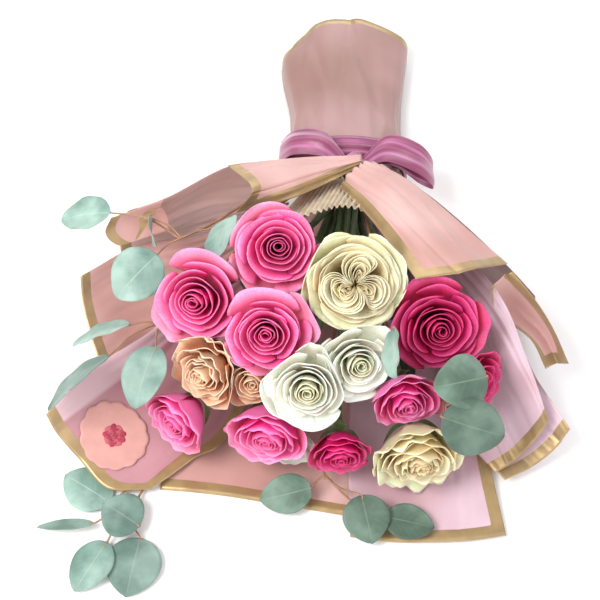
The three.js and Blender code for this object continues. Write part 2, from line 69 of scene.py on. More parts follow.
# ---------------------------------------------------------------------------------------------
# Curves, surfaces and fields
# ---------------------------------------------------------------------------------------------
def colour(red: int, green: int, blue: int) -> Colour:
    """Turns a colour as seen on a screen into linear light, by the standard screen curve.

    Args:
        red: red as seen, 0 to 255.
        green: green as seen.
        blue: blue as seen.

    Returns:
        The four channels, 0 to 1, the last of them 1.
    """
    seen = np.array([red, green, blue]) / 255.0
    linear = np.where(seen <= 0.04045, seen / 12.92, ((seen + 0.055) / 1.055) ** 2.4)
    return (*linear.tolist(), 1.0)


def unit(vectors: np.ndarray) -> np.ndarray:
    """Scales vectors, along the last axis, to a length of one."""
    length = np.linalg.norm(vectors, axis=-1, keepdims=True)
    return vectors / np.maximum(length, 1e-9)


def smoothstep(low: float, high: float, x: np.ndarray) -> np.ndarray:
    """Rises smoothly from 0 at low to 1 at high."""
    t = np.clip((x - low) / (high - low), 0.0, 1.0)
    return t * t * (3.0 - 2.0 * t)


def bezier(t: np.ndarray, a: np.ndarray, b: np.ndarray, c: np.ndarray, d: np.ndarray) -> np.ndarray:
    """A cubic Bezier of four numbers or points: (1-t)^3 a + 3(1-t)^2 t b + 3(1-t) t^2 c + t^3 d."""
    s = 1.0 - t
    return s**3 * a + 3 * s**2 * t * b + 3 * s * t**2 * c + t**3 * d


def spline_weights(count: int, samples: int) -> np.ndarray:
    """Weights of a smooth curve through evenly numbered points.

    Each sample is the uniform Catmull-Rom blend of the four points round it, and the points
    before the first and after the last continue the end spans in a straight line.

    Args:
        count: number of points that the curve goes through.
        samples: number of places along it, both ends included.

    Returns:
        A (samples, count) matrix that turns the points into the samples.
    """
    place = np.linspace(0, count - 1, samples)
    cell = np.minimum(place.astype(int), count - 2)
    f = place - cell
    basis = [-f + 2 * f**2 - f**3, 2 - 5 * f**2 + 3 * f**3, f + 4 * f**2 - 3 * f**3, f**3 - f**2]
    padded = np.zeros((samples, count + 2))
    for k in range(4):
        padded[np.arange(samples), cell + k] += 0.5 * basis[k]
    weights = padded[:, 1:-1].copy()
    weights[:, 0] += 2 * padded[:, 0]
    weights[:, 1] -= padded[:, 0]
    weights[:, -1] += 2 * padded[:, -1]
    weights[:, -2] -= padded[:, -1]
    return weights


def net_surface(rows: Rows, along: int, across: int) -> np.ndarray:
    """The smooth surface through rows of points: their spline along times their spline across.

    Args:
        rows: rows of points, all of one length.
        along: grid rows to make.
        across: grid columns to make.

    Returns:
        An (along, across, 3) grid.
    """
    net = np.array(rows, float)
    down = spline_weights(net.shape[0], along)
    over = spline_weights(net.shape[1], across)
    return np.einsum("ar,rcx,bc->abx", down, net, over)


def normals_of(points: np.ndarray) -> np.ndarray:
    """Unit normals of a grid, from the cross product of its two slopes."""
    return unit(np.cross(np.gradient(points, axis=1), np.gradient(points, axis=0)))


def travelled(points: np.ndarray, axis: int) -> np.ndarray:
    """How far each grid point is from the start of its row or column: the sum of the steps.

    Args:
        points: (rows, columns, 3) grid.
        axis: 0 to go along the columns, 1 to go along the rows.

    Returns:
        The distance at each grid point.
    """
    step = np.linalg.norm(np.diff(points, axis=axis), axis=-1)
    first = np.zeros_like(np.take(step, [0], axis=axis))
    return np.concatenate([first, np.cumsum(step, axis=axis)], axis=axis)


def sweep(path: np.ndarray, radii: np.ndarray, sides: int) -> np.ndarray:
    """A round skin about a path, closed at both ends.

    A ring of `sides` points stands square to the path at each of its points, turned from a
    fixed reference, and the first and last rings shrink to the path's own ends.

    Args:
        path: (points, 3) positions.
        radii: radius at each of them.
        sides: points round the skin.

    Returns:
        A (points + 2, sides, 3) grid that closes on itself round the path.
    """
    path = np.concatenate([path[:1], path, path[-1:]])
    radii = np.concatenate([[0.0], radii, [0.0]])
    slope = unit(np.gradient(path, axis=0) + 1e-9)
    steep = abs(slope[len(slope) // 2, 2]) >= 0.8
    side = unit(np.cross(slope, (1.0, 0.1, 0.0) if steep else (0.31, 0.17, 0.94)))
    other = np.cross(slope, side)
    angle = np.linspace(0, 2 * np.pi, sides, endpoint=False)
    turn = angle[None, :, None]
    ring = side[:, None] * np.cos(turn) + other[:, None] * np.sin(turn)
    return path[:, None] + ring * radii[:, None, None]


def curve_through(points: list[tuple[float, float, float]], samples: int) -> np.ndarray:
    """A smooth curve through points, as a (samples, 3) array."""
    return spline_weights(len(points), samples) @ np.array(points, float)


def turn_about(vector: np.ndarray, axis: np.ndarray, degrees: float) -> np.ndarray:
    """Turns a vector about a unit axis: v cos a + (axis x v) sin a + axis (axis . v)(1 - cos a).

    Args:
        vector: what is turned.
        axis: what it turns about, one long.
        degrees: how far.

    Returns:
        The vector after the turn.
    """
    a = math.radians(degrees)
    along = axis * np.dot(axis, vector) * (1 - math.cos(a))
    return vector * math.cos(a) + np.cross(axis, vector) * math.sin(a) + along


def square_to(axis: np.ndarray) -> tuple[np.ndarray, np.ndarray]:
    """Two unit vectors square to an axis and to each other, the first of them level."""
    side = unit(np.cross(UP, axis))
    return side, np.cross(axis, side)


def own_rng(name: str) -> np.random.Generator:
    """A piece's own source of unevenness, seeded by the sum of its name's letters."""
    return np.random.default_rng(sum(map(ord, name)))


def waves(
    u: np.ndarray, v: np.ndarray, rng: np.random.Generator, count: int, reach: float
) -> np.ndarray:
    """A soft random relief between about -1 and 1: a sum of `count` plane waves.

    Args:
        u: first parameter, 0 to 1.
        v: second parameter, 0 to 1.
        rng: source of the waves' directions and phases.
        count: number of waves.
        reach: most waves that fit across the surface.

    Returns:
        The relief at each (u, v).
    """
    total = np.zeros(np.broadcast(u, v).shape)
    for _ in range(count):
        fu, fv = rng.uniform(-reach, reach, 2)
        total += np.cos(2 * np.pi * (fu * u + fv * v) + rng.uniform(0, 2 * np.pi))
    return total / math.sqrt(count)


# ---------------------------------------------------------------------------------------------
# Meshes
# ---------------------------------------------------------------------------------------------
@dataclass
class Patch:
    """One grid of points, in millimetres, with the values that its finish reads.

    Attributes:
        points: (rows, columns, 3) positions.
        loop: whether the last column joins the first.
        layers: named value at each point.
        finish: which of the piece's materials it takes.
    """

    points: np.ndarray
    loop: bool = False
    layers: dict[str, np.ndarray] = field(default_factory=dict)
    finish: int = 0

    def quads(self, offset: int) -> np.ndarray:
        """The patch's faces.

        Args:
            offset: number of the patch's first vertex.

        Returns:
            (faces, 4) vertex numbers; a loop's last column joins its first.
        """
        rows, columns = self.points.shape[:2]
        index = offset + np.arange(rows * columns).reshape(rows, columns)
        if self.loop:
            index = np.concatenate([index, index[:, :1]], axis=1)
        around = [index[:-1, :-1], index[:-1, 1:], index[1:, 1:], index[1:, :-1]]
        return np.stack(around, axis=-1).reshape(-1, 4)

    def uvs(self) -> np.ndarray:
        """Each point's place on the patch: across and along, from 0 to 1."""
        rows, columns = self.points.shape[:2]
        u, v = np.meshgrid(np.linspace(0, 1, columns), np.linspace(0, 1, rows))
        return np.stack([u, v], axis=-1).reshape(-1, 2)


@dataclass
class Piece:
    """A finished piece of the bouquet: patches in one mesh that stand for CAD nodes.

    Attributes:
        name: the object's name.
        patches: its surfaces.
        nodes: CAD nodes it stands for.
        slot: name of a material slot; not used.
        materials: its materials, by patch finish number.
        wall: thickness that open surfaces are given, in millimetres.
        outward: whether loose ends are merged and faces set to point outwards.
        two_sided: whether the wall's far side takes the next material.
    """

    name: str
    patches: list[Patch]
    nodes: tuple[str, ...]
    slot: str
    materials: list[bpy.types.Material]
    wall: float = 0.0
    outward: bool = False
    two_sided: bool = False

    def make(self) -> bpy.types.Object:
        """Builds the mesh object and ties it to the frame.

        Returns:
            The finished object.
        """
        points = np.concatenate([p.points.reshape(-1, 3) for p in self.patches]) * MM
        starts = np.cumsum([0] + [p.points.size // 3 for p in self.patches[:-1]])
        quads = np.concatenate([p.quads(s) for p, s in zip(self.patches, starts)])
        uvs = np.concatenate([p.uvs() for p in self.patches])
        finishes = np.concatenate([np.full(len(p.quads(0)), p.finish) for p in self.patches])
        mesh = bpy.data.meshes.new(self.name)
        mesh.vertices.add(len(points))
        mesh.vertices.foreach_set("co", points.astype(np.float32).ravel())
        mesh.loops.add(quads.size)
        mesh.loops.foreach_set("vertex_index", quads.astype(np.int32).ravel())
        mesh.polygons.add(len(quads))
        mesh.polygons.foreach_set("loop_start", np.arange(0, quads.size, 4, dtype=np.int32))
        mesh.polygons.foreach_set("material_index", finishes.astype(np.int32))
        mesh.polygons.foreach_set("use_smooth", np.ones(len(quads), bool))
        layer = mesh.uv_layers.new(name="UVMap")
        layer.data.foreach_set("uv", uvs[quads.ravel()].astype(np.float32).ravel())
        for key in sorted({key for p in self.patches for key in p.layers}):
            spread = [np.broadcast_to(p.layers.get(key, 0.0), p.points.shape[:2]) for p in self.patches]
            values = np.concatenate([one.ravel() for one in spread]).astype(np.float32)
            mesh.attributes.new(key, "FLOAT", "POINT").data.foreach_set("value", values)
        mesh.update(calc_edges=True)
        mesh.validate()
        if self.outward:
            self.seal(mesh)
        for material in self.materials:
            mesh.materials.append(material)
        piece = bpy.data.objects.new(self.name, mesh)
        bpy.context.scene.collection.objects.link(piece)
        if self.wall:
            skin = piece.modifiers.new("wall", "SOLIDIFY")
            skin.thickness = self.wall * MM
            skin.offset = 0.0
            skin.material_offset = int(self.two_sided)
        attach(piece, "root")
        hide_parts(*self.nodes)
        LOG.info("%s: %d patches, %d faces", self.name, len(self.patches), len(quads))
        return piece

    @staticmethod
    def seal(mesh: bpy.types.Mesh) -> None:
        """Merges the points that meet at ends and seams, and turns the faces outwards."""
        shape = bmesh.new()
        shape.from_mesh(mesh)
        bmesh.ops.remove_doubles(shape, verts=shape.verts, dist=1e-6)
        bmesh.ops.recalc_face_normals(shape, faces=shape.faces)
        shape.to_mesh(mesh)
        shape.free()


class Held(Enum):
    """How a sheet is held in the bouquet."""

    LAID = "laid"
    GATHERED = "gathered"
    FOLDED = "folded"


# ---------------------------------------------------------------------------------------------
# Finishes
# ---------------------------------------------------------------------------------------------
class Graph:
    """A short way to write a node tree."""

    def __init__(self, tree: bpy.types.NodeTree) -> None:
        """Starts on a tree and empties it."""
        self.tree = tree
        self.tree.nodes.clear()

    def node(self, kind: str, inputs: dict | None = None, **settings: object) -> bpy.types.Node:
        """Adds a node.

        Args:
            kind: the node's type name, without the leading ShaderNode.
            inputs: sockets, by name or number, to a value or to another node's output.
            settings: the node's own properties.

        Returns:
            The new node.
        """
        made = self.tree.nodes.new(kind if kind.startswith("NodeGroup") else "ShaderNode" + kind)
        for key, value in settings.items():
            setattr(made, key, value)
        for key, value in (inputs or {}).items():
            self.feed(made.inputs[key], value)
        return made

    def feed(self, socket: bpy.types.NodeSocket, value: object) -> None:
        """Links an output to a socket, or sets the socket's own value.

        Args:
            socket: the socket to feed.
            value: another node's output, or a plain value.
        """
        if isinstance(value, bpy.types.NodeSocket):
            self.tree.links.new(value, socket)
        else:
            socket.default_value = value

    def maths(self, operation: str, a: object, b: object = 0.0) -> bpy.types.NodeSocket:
        """One sum of two numbers."""
        return self.node("Math", {0: a, 1: b}, operation=operation).outputs[0]

    def mix(self, factor: object, a: object, b: object, blend: str = "MIX") -> bpy.types.NodeSocket:
        """Blends two colours."""
        made = self.node("Mix", {0: factor, 6: a, 7: b}, data_type="RGBA", blend_type=blend)
        return made.outputs[2]

    def ramp(
        self, value: object, low: float, high: float, to: tuple[float, float] = (0.0, 1.0)
    ) -> bpy.types.NodeSocket:
        """Maps a number smoothly from low..high to another range."""
        sockets = {"Value": value, "From Min": low, "From Max": high, "To Min": to[0], "To Max": to[1]}
        return self.node("MapRange", sockets, interpolation_type="SMOOTHSTEP").outputs[0]

    def layer(self, name: str) -> bpy.types.NodeSocket:
        """Reads a piece's named value."""
        return self.node("Attribute", attribute_name=name).outputs["Fac"]

    def grey(self, value: object) -> bpy.types.NodeSocket:
        """A colour whose three channels are one number."""
        return self.node("CombineColor", {0: value, 1: value, 2: value}).outputs[0]

    def noise(
        self, scale: object, detail: float = 3.0, stretch: tuple[float, float, float] | None = None
    ) -> bpy.types.NodeSocket:
        """A random cloud on Object coordinates, or on the piece's own UV map when stretched.

        Args:
            scale: the cloud's frequency, a number or another node's output.
            detail: how many finer layers it has.
            stretch: how many times the cloud repeats across and along the UV map.

        Returns:
            The cloud's value.
        """
        place = self.node("TexCoord")
        vector = place.outputs["Object"]
        if stretch:
            vector = self.node("Mapping", {"Vector": place.outputs["UV"], "Scale": stretch}).outputs[0]
        return self.node("TexNoise", {"Vector": vector, "Scale": scale, "Detail": detail}).outputs["Fac"]


def make_group(name: str, inputs: dict[str, str], outputs: dict[str, str]) -> tuple[Graph, dict, dict]:
    """Starts a shader node group.

    Args:
        name: the group's name.
        inputs: each input's name and kind, Color or Float.
        outputs: each output's name and kind.

    Returns:
        The group's graph, the sockets that its inputs come in by, and those that lead out.
    """
    tree = bpy.data.node_groups.new(name, "ShaderNodeTree")
    graph = Graph(tree)
    for side, sockets in (("INPUT", inputs), ("OUTPUT", outputs)):
        for key, kind in sockets.items():
            tree.interface.new_socket(name=key, in_out=side, socket_type=f"NodeSocket{kind}")
    entry = tree.nodes.new("NodeGroupInput")
    leave = tree.nodes.new("NodeGroupOutput")
    return graph, {k: entry.outputs[k] for k in inputs}, {k: leave.inputs[k] for k in outputs}


class Effects:
    """The node groups that the finishes share, each made once."""

    made: dict[str, bpy.types.NodeTree] = {}

    @classmethod
    def get(cls, name: str) -> bpy.types.NodeTree:
        """Gives a group by name, and makes it on first use."""
        if name not in cls.made:
            cls.made[name] = getattr(cls, name)()
        return cls.made[name]

    @staticmethod
    def mottle() -> bpy.types.NodeTree:
        """Uneven colour: patches of lighter and darker tone over a colour, and a fine height.

        Returns:
            The group.
        """
        comes = {"Color": "Color", "Dark": "Float", "Scale": "Float"}
        graph, come, leave = make_group("mottle", comes, {"Color": "Color", "Height": "Float"})
        fine_scale = graph.maths("MULTIPLY", come["Scale"], 9.0)
        broad, fine = graph.noise(come["Scale"], 4.0), graph.noise(fine_scale, 2.0)
        shade = graph.maths("MULTIPLY", graph.ramp(broad, 0.35, 0.65), come["Dark"])
        tone = graph.grey(graph.maths("SUBTRACT", 1.0, shade))
        graph.feed(leave["Color"], graph.mix(1.0, come["Color"], tone, "MULTIPLY"))
        graph.feed(leave["Height"], graph.maths("ADD", broad, graph.maths("MULTIPLY", fine, 0.35)))
        return graph.tree

    @staticmethod
    def hem() -> bpy.types.NodeTree:
        """A printed metallic band along an edge, from the distance to that edge in millimetres.

        Returns:
            The group.
        """
        comes = {"Color": "Color", "Gold": "Color", "Width": "Float"}
        graph, come, leave = make_group("hem", comes, {"Color": "Color", "Mask": "Float"})
        inside = graph.maths("LESS_THAN", graph.layer("hem"), come["Width"])
        rub = graph.ramp(graph.noise(55.0), 0.3, 0.7, (0.82, 1.06))
        gold = graph.mix(1.0, come["Gold"], graph.grey(rub), "MULTIPLY")
        graph.feed(leave["Color"], graph.mix(inside, come["Color"], gold))
        graph.feed(leave["Mask"], inside)
        return graph.tree

    @staticmethod
    def veins() -> bpy.types.NodeTree:
        """A leaf's veins, as a mask: a midrib and slanting side veins, from the leaf's layers.

        Returns:
            The group.
        """
        graph, _, leave = make_group("veins", {}, {"Mask": "Float"})
        off = graph.maths("ABSOLUTE", graph.layer("across"))
        middle = graph.ramp(off, 0.05, 0.0)
        climb = graph.maths("MULTIPLY", graph.layer("along"), 8.0)
        slant = graph.maths("SUBTRACT", climb, graph.maths("MULTIPLY", off, 2.6))
        saw = graph.maths("ABSOLUTE", graph.maths("SUBTRACT", graph.maths("FRACT", slant), 0.5))
        side = graph.maths("MULTIPLY", graph.ramp(saw, 0.05, 0.0), 0.4)
        graph.feed(leave["Mask"], graph.maths("MAXIMUM", middle, side))
        return graph.tree


@dataclass(frozen=True)
class Finish:
    """What all finishes share.

    Attributes:
        name: the material's name.
        roughness: the surface's roughness.
        sockets: constant values of other shader sockets.
    """

    name: str
    roughness: float = 0.5
    sockets: tuple[tuple[str, object], ...] = ()

    def surface(self) -> tuple[bpy.types.Material, Graph, bpy.types.Node]:
        """Starts a material.

        Returns:
            The material, its graph and its shader.
        """
        material = bpy.data.materials.new(self.name)
        material.use_nodes = True
        graph = Graph(material.node_tree)
        shader = graph.node("BsdfPrincipled", {"Roughness": self.roughness, **dict(self.sockets)})
        out = graph.node("OutputMaterial")
        graph.feed(out.inputs["Surface"], shader.outputs[0])
        return material, graph, shader

    @staticmethod
    def group(graph: Graph, name: str, inputs: dict) -> bpy.types.Node:
        """Places one of the shared effects.

        Args:
            graph: the material's graph.
            name: the effect's name.
            inputs: what feeds it, by socket name.

        Returns:
            The effect's node.
        """
        made = graph.node("Group", node_tree=Effects.get(name))
        for key, value in inputs.items():
            graph.feed(made.inputs[key], value)
        return made

    @staticmethod
    def bump(
        graph: Graph, shader: bpy.types.Node, height: object, strength: float, distance: float
    ) -> None:
        """Feeds a height to the shader's normal; distance is in millimetres."""
        sockets = {"Height": height, "Strength": strength, "Distance": distance * MM}
        graph.feed(shader.inputs["Normal"], graph.node("Bump", sockets).outputs[0])


@dataclass(frozen=True)
class PetalFinish(Finish):
    """Velvety petals, coloured from the heart outwards and from the base to the rim."""

    heart: Colour = (1.0, 1.0, 1.0, 1.0)
    body: Colour = (1.0, 1.0, 1.0, 1.0)
    rim: Colour = (1.0, 1.0, 1.0, 1.0)
    guard: Colour = (1.0, 1.0, 1.0, 1.0)
    base: Colour = (1.0, 1.0, 1.0, 1.0)

    def make(self) -> bpy.types.Material:
        """Builds the material: heart to body to guard by ring, then base and rim tints.

        Returns:
            The material.
        """
        material, graph, shader = self.surface()
        ring, rise, tone = graph.layer("ring"), graph.layer("rise"), graph.layer("tone")
        shade = graph.mix(graph.ramp(ring, 0.05, 0.5), self.heart, self.body)
        shade = graph.mix(graph.ramp(ring, 0.72, 1.0), shade, self.guard)
        shade = graph.mix(graph.ramp(rise, 0.62, 0.18), shade, self.base)
        streak = graph.noise(7.0, 3.0, (9.0, 0.9, 1.0))
        broken = graph.ramp(streak, 0.25, 0.7, (0.45, 1.0))
        edge = graph.maths("MULTIPLY", graph.ramp(rise, 0.78, 1.0), broken)
        edge = graph.maths("MULTIPLY", edge, graph.ramp(ring, 0.05, 0.65, (0.5, 1.0)))
        shade = graph.mix(edge, shade, self.rim)
        veil = graph.grey(graph.maths("ADD", graph.maths("MULTIPLY", tone, 0.22), 0.86))
        shade = graph.mix(1.0, shade, veil, "MULTIPLY")
        uneven = self.group(graph, "mottle", {"Color": shade, "Dark": 0.14, "Scale": 60.0})
        graph.feed(shader.inputs["Base Color"], uneven.outputs["Color"])
        fibre = graph.maths("ADD", graph.noise(26.0, 2.0, (9.0, 1.0, 1.0)), uneven.outputs["Height"])
        self.bump(graph, shader, fibre, 0.35, 0.35)
        return material


@dataclass(frozen=True)
class FilmFinish(Finish):
    """Frosted wrapping film with a printed gold hem."""

    body: Colour = (0.5, 0.3, 0.3, 1.0)
    glow: Colour = (0.6, 0.4, 0.4, 1.0)
    sheen: Colour = colour(228, 196, 204)
    gold: Colour = colour(176, 148, 104)
    hem_width: float = 10.5

    def make(self) -> bpy.types.Material:
        """Builds the material: two soft tones, then the hem, which is also less rough.

        Returns:
            The material.
        """
        material, graph, shader = self.surface()
        tone = graph.mix(graph.ramp(graph.noise(9.0, 2.0), 0.35, 0.68), self.body, self.glow)
        # Along a sheet's left edge the tone is mixed towards the sheen colour: a painted highlight.
        tone = graph.mix(graph.maths("MULTIPLY", graph.layer("turned"), 0.75), tone, self.sheen)
        uneven = self.group(graph, "mottle", {"Color": tone, "Dark": 0.06, "Scale": 24.0})
        comes = {"Color": uneven.outputs["Color"], "Gold": self.gold, "Width": self.hem_width}
        hem = self.group(graph, "hem", comes)
        mask = hem.outputs["Mask"]
        graph.feed(shader.inputs["Base Color"], hem.outputs["Color"])
        graph.feed(shader.inputs["Metallic"], graph.maths("MULTIPLY", mask, 0.4))
        graph.feed(shader.inputs["Roughness"], graph.ramp(mask, 0.0, 1.0, (self.roughness, 0.33)))
        self.bump(graph, shader, uneven.outputs["Height"], 0.25, 0.5)
        return material


@dataclass(frozen=True)
class SatinFinish(Finish):
    """Woven satin: fine threads across the ribbon, and lighter streaks along it that are painted highlights.
    """

    body: Colour = (0.5, 0.2, 0.4, 1.0)
    light: Colour = (0.8, 0.5, 0.7, 1.0)

    def make(self) -> bpy.types.Material:
        """Builds the material: light streaks along the ribbon over the body colour, painted highlights of
        the satin's sheen.

        Returns:
            The material.
        """
        material, graph, shader = self.surface()
        # The lighter streaks along the ribbon are painted highlights of the satin's sheen.
        streak = graph.noise(2.2, 2.0, (2.2, 0.5, 1.0))
        tone = graph.mix(graph.ramp(streak, 0.4, 0.68), self.body, self.light)
        uneven = self.group(graph, "mottle", {"Color": tone, "Dark": 0.12, "Scale": 50.0})
        graph.feed(shader.inputs["Base Color"], uneven.outputs["Color"])
        thread = graph.noise(40.0, 1.0, (1.0, 30.0, 1.0))
        self.bump(graph, shader, thread, 0.25, 0.12)
        return material


@dataclass(frozen=True)
class LeafFinish(Finish):
    """Waxy leaf: veins, a bloom of wax, and a few darker spots."""

    body: Colour = (0.3, 0.5, 0.4, 1.0)
    wax: Colour = (0.5, 0.6, 0.5, 1.0)
    vein: Colour = (0.5, 0.6, 0.5, 1.0)

    def make(self) -> bpy.types.Material:
        """Builds the material: body to wax by a cloud, veins over it.

        Returns:
            The material.
        """
        material, graph, shader = self.surface()
        tone = graph.mix(graph.ramp(graph.noise(28.0, 3.0), 0.35, 0.65), self.body, self.wax)
        veins = self.group(graph, "veins", {})
        tone = graph.mix(graph.maths("MULTIPLY", veins.outputs["Mask"], 0.5), tone, self.vein)
        uneven = self.group(graph, "mottle", {"Color": tone, "Dark": 0.18, "Scale": 70.0})
        veil = graph.grey(graph.ramp(graph.layer("tone"), 0.0, 1.0, (0.62, 1.08)))
        graph.feed(shader.inputs["Base Color"], graph.mix(1.0, uneven.outputs["Color"], veil, "MULTIPLY"))
        cloud = graph.maths("MULTIPLY", uneven.outputs["Height"], 0.4)
        height = graph.maths("SUBTRACT", cloud, veins.outputs["Mask"])
        self.bump(graph, shader, height, 0.5, 0.25)
        return material


@dataclass(frozen=True)
class PlainFinish(Finish):
    """Paper, stalk and twine: one uneven colour with a fibrous surface."""

    body: Colour = (0.5, 0.5, 0.5, 1.0)
    dark: float = 0.25
    scale: float = 80.0
    relief: float = 0.3

    def make(self) -> bpy.types.Material:
        """Builds the material.

        Returns:
            The material.
        """
        material, graph, shader = self.surface()
        uneven = self.group(graph, "mottle", {"Color": self.body, "Dark": self.dark, "Scale": self.scale})
        graph.feed(shader.inputs["Base Color"], uneven.outputs["Color"])
        self.bump(graph, shader, uneven.outputs["Height"], 0.5, self.relief)
        return material


SOFT = (("Subsurface Weight", 0.22), ("Subsurface Scale", 0.006), ("Specular IOR Level", 0.3))
SHEER = (
    ("Subsurface Weight", 0.1), ("Subsurface Radius", (1.0, 0.8, 0.8)), ("Subsurface Scale", 0.004),
    ("Specular IOR Level", 0.4), ("Sheen Weight", 0.15), ("Sheen Roughness", 0.5),
)
WAXY = (("Specular IOR Level", 0.35), ("Sheen Weight", 0.25), ("Sheen Roughness", 0.5))


class Tint(Enum):
    """The petal colours in the bunch: the faces and the backs of each."""

    PINK = (
        PetalFinish("pink_face", 0.55, SOFT, heart=colour(226, 18, 112), body=colour(248, 58, 152),
                    rim=colour(255, 160, 214), guard=colour(252, 132, 194), base=colour(206, 16, 96)),
        PetalFinish("pink_back", 0.6, SOFT, heart=colour(236, 48, 138), body=colour(246, 92, 160),
                    rim=colour(255, 176, 218), guard=colour(242, 132, 164), base=colour(218, 96, 120)),
    )
    MAGENTA = (
        PetalFinish("magenta_face", 0.5, SOFT, heart=colour(180, 4, 74), body=colour(212, 16, 104),
                    rim=colour(250, 84, 160), guard=colour(224, 36, 122), base=colour(164, 6, 66)),
        PetalFinish("magenta_back", 0.55, SOFT, heart=colour(196, 16, 90), body=colour(214, 44, 112),
                    rim=colour(246, 104, 166), guard=colour(206, 58, 104), base=colour(184, 44, 84)),
    )
    CREAM = (
        PetalFinish("cream_face", 0.55, SOFT, heart=colour(204, 166, 104), body=colour(228, 202, 150),
                    rim=colour(250, 242, 212), guard=colour(234, 232, 188), base=colour(184, 134, 74)),
        PetalFinish("cream_back", 0.6, SOFT, heart=colour(222, 196, 142), body=colour(238, 222, 182),
                    rim=colour(250, 244, 216), guard=colour(228, 226, 178), base=colour(206, 190, 128)),
    )
    BLUSH = (
        PetalFinish("blush_face", 0.55, SOFT, heart=colour(232, 180, 140), body=colour(244, 210, 182),
                    rim=colour(254, 238, 214), guard=colour(244, 206, 178), base=colour(222, 150, 108)),
        PetalFinish("blush_back", 0.6, SOFT, heart=colour(238, 190, 150), body=colour(238, 180, 144),
                    rim=colour(252, 230, 200), guard=colour(232, 164, 128), base=colour(214, 142, 102)),
    )
    WHITE = (
        PetalFinish("white_face", 0.55, SOFT, heart=colour(226, 220, 160), body=colour(246, 244, 230),
                    rim=colour(254, 253, 248), guard=colour(247, 246, 236), base=colour(206, 200, 140)),
        PetalFinish("white_back", 0.6, SOFT, heart=colour(238, 234, 200), body=colour(246, 244, 230),
                    rim=colour(253, 252, 246), guard=colour(242, 242, 224), base=colour(216, 216, 176)),
    )

    @property
    def slot(self) -> str:
        """The slot name for this colour."""
        return "petals_" + self.name.lower()


class Film(Enum):
    """The film's tones in the wrapper; the one round the handle has a narrower hem, and the lighter copy on
    the left wall's inside face is painted light.
    """

    DUSTY = FilmFinish("film_dusty", 0.42, SHEER, body=colour(198, 148, 140), glow=colour(222, 180, 176))
    SATIN = FilmFinish("film_satin", 0.32, SHEER, body=colour(200, 158, 168), glow=colour(226, 198, 212))
    ROSY = FilmFinish("film_rosy", 0.4, SHEER, body=colour(176, 118, 128), glow=colour(200, 148, 156))
    # A lighter copy of the dusty film: painted light on the inside face of the left wall.
    PALE = FilmFinish("film_painted_light", 0.42, SHEER, body=colour(234, 190, 180), glow=colour(248, 214, 206))
    HANDLE = FilmFinish("film_handle", 0.45, SHEER, body=colour(152, 115, 108),
                        glow=colour(178, 140, 138), hem_width=7.0)


# ---------------------------------------------------------------------------------------------
# Roses
# ---------------------------------------------------------------------------------------------
class Heart(Enum):
    """How the middle of an open rose is folded."""

    SPIRAL = "one tight scroll"
    QUARTERED = "three nests of folded petals"


@dataclass(frozen=True)
class RosePlan:
    """Where one rose is and how it is built; lengths in millimetres, angles in degrees.

    Attributes:
        at: the middle of the widest ring.
        radius: radius of that ring.
        turn: which way the bloom looks, round from -Y towards +X.
        lift: how far it looks up from the surface.
        tint: its colour.
        heart: how its middle is folded.
        petals: number of petals in the cup.
        cup: 0 where the outer petals have opened flat, 1 where all rims stand level.
        fit: size of the petals' grid against the radius.
        ruffle: height of the rims' waves, 1 for a smooth rose.
    """

    at: tuple[float, float, float]
    radius: float
    turn: float
    lift: float
    tint: Tint
    heart: Heart = Heart.SPIRAL
    petals: int = 26
    cup: float = 0.15
    fit: float = 0.9
    ruffle: float = 1.0

    @property
    def centre(self) -> np.ndarray:
        """The middle of the widest ring."""
        return np.array(self.at, float)

    @property
    def looks(self) -> np.ndarray:
        """The way the bloom opens."""
        turn, lift = math.radians(self.turn), math.radians(self.lift)
        flat = math.cos(lift)
        return np.array([math.sin(turn) * flat, -math.cos(turn) * flat, math.sin(lift)])

    @property
    def neck(self) -> np.ndarray:
        """Where the hip joins the stem."""
        return self.centre - self.looks * (0.78 * self.radius + 5.5)


ROSES = (
    RosePlan((-22, -62, 148), 38, 5, 55, Tint.PINK, petals=24),
    RosePlan((40, -93, 146), 41, 4, 52, Tint.CREAM, Heart.QUARTERED, 17, 0.1),
    RosePlan((-86, -92, 120), 39, -18, 46, Tint.PINK, petals=23, cup=0.3),
    RosePlan((-30, -131, 128), 37, -4, 48, Tint.PINK, petals=24),
    RosePlan((108, -117, 117), 40, 6, 46, Tint.MAGENTA, petals=24, cup=0.3),
    RosePlan((2, -170, 112), 36, -4, 42, Tint.WHITE, petals=24, cup=0.1),
    RosePlan((42, -152, 118), 33, 14, 42, Tint.WHITE, petals=23, cup=0.2),
    RosePlan((-80, -143, 90), 34, -35, 26, Tint.BLUSH, petals=23, cup=0.4, ruffle=2.4),
    RosePlan((-104, -167, 54), 33, -38, 10, Tint.PINK, petals=20, cup=0.95),
    RosePlan((-30, -184, 62), 38, -12, 8, Tint.PINK, petals=22, cup=0.8),
    RosePlan((92, -200, 50), 41, 6, 8, Tint.CREAM, petals=28, cup=0.55, ruffle=2.2),
    RosePlan((140, -146, 78), 26, 42, 22, Tint.MAGENTA, petals=18, cup=0.8, fit=1.0),
    RosePlan((82, -168, 88), 27, 8, 14, Tint.PINK, petals=20, cup=0.7, fit=1.08),
    RosePlan((30, -198, 52), 25, 2, 6, Tint.MAGENTA, petals=18, cup=0.6, fit=1.0),
    RosePlan((-42, -150, 88), 26, -10, 30, Tint.BLUSH, petals=18, cup=0.8),
    RosePlan((-14, -184, 32), 25, -4, 2, Tint.WHITE, petals=18, cup=0.7),
)


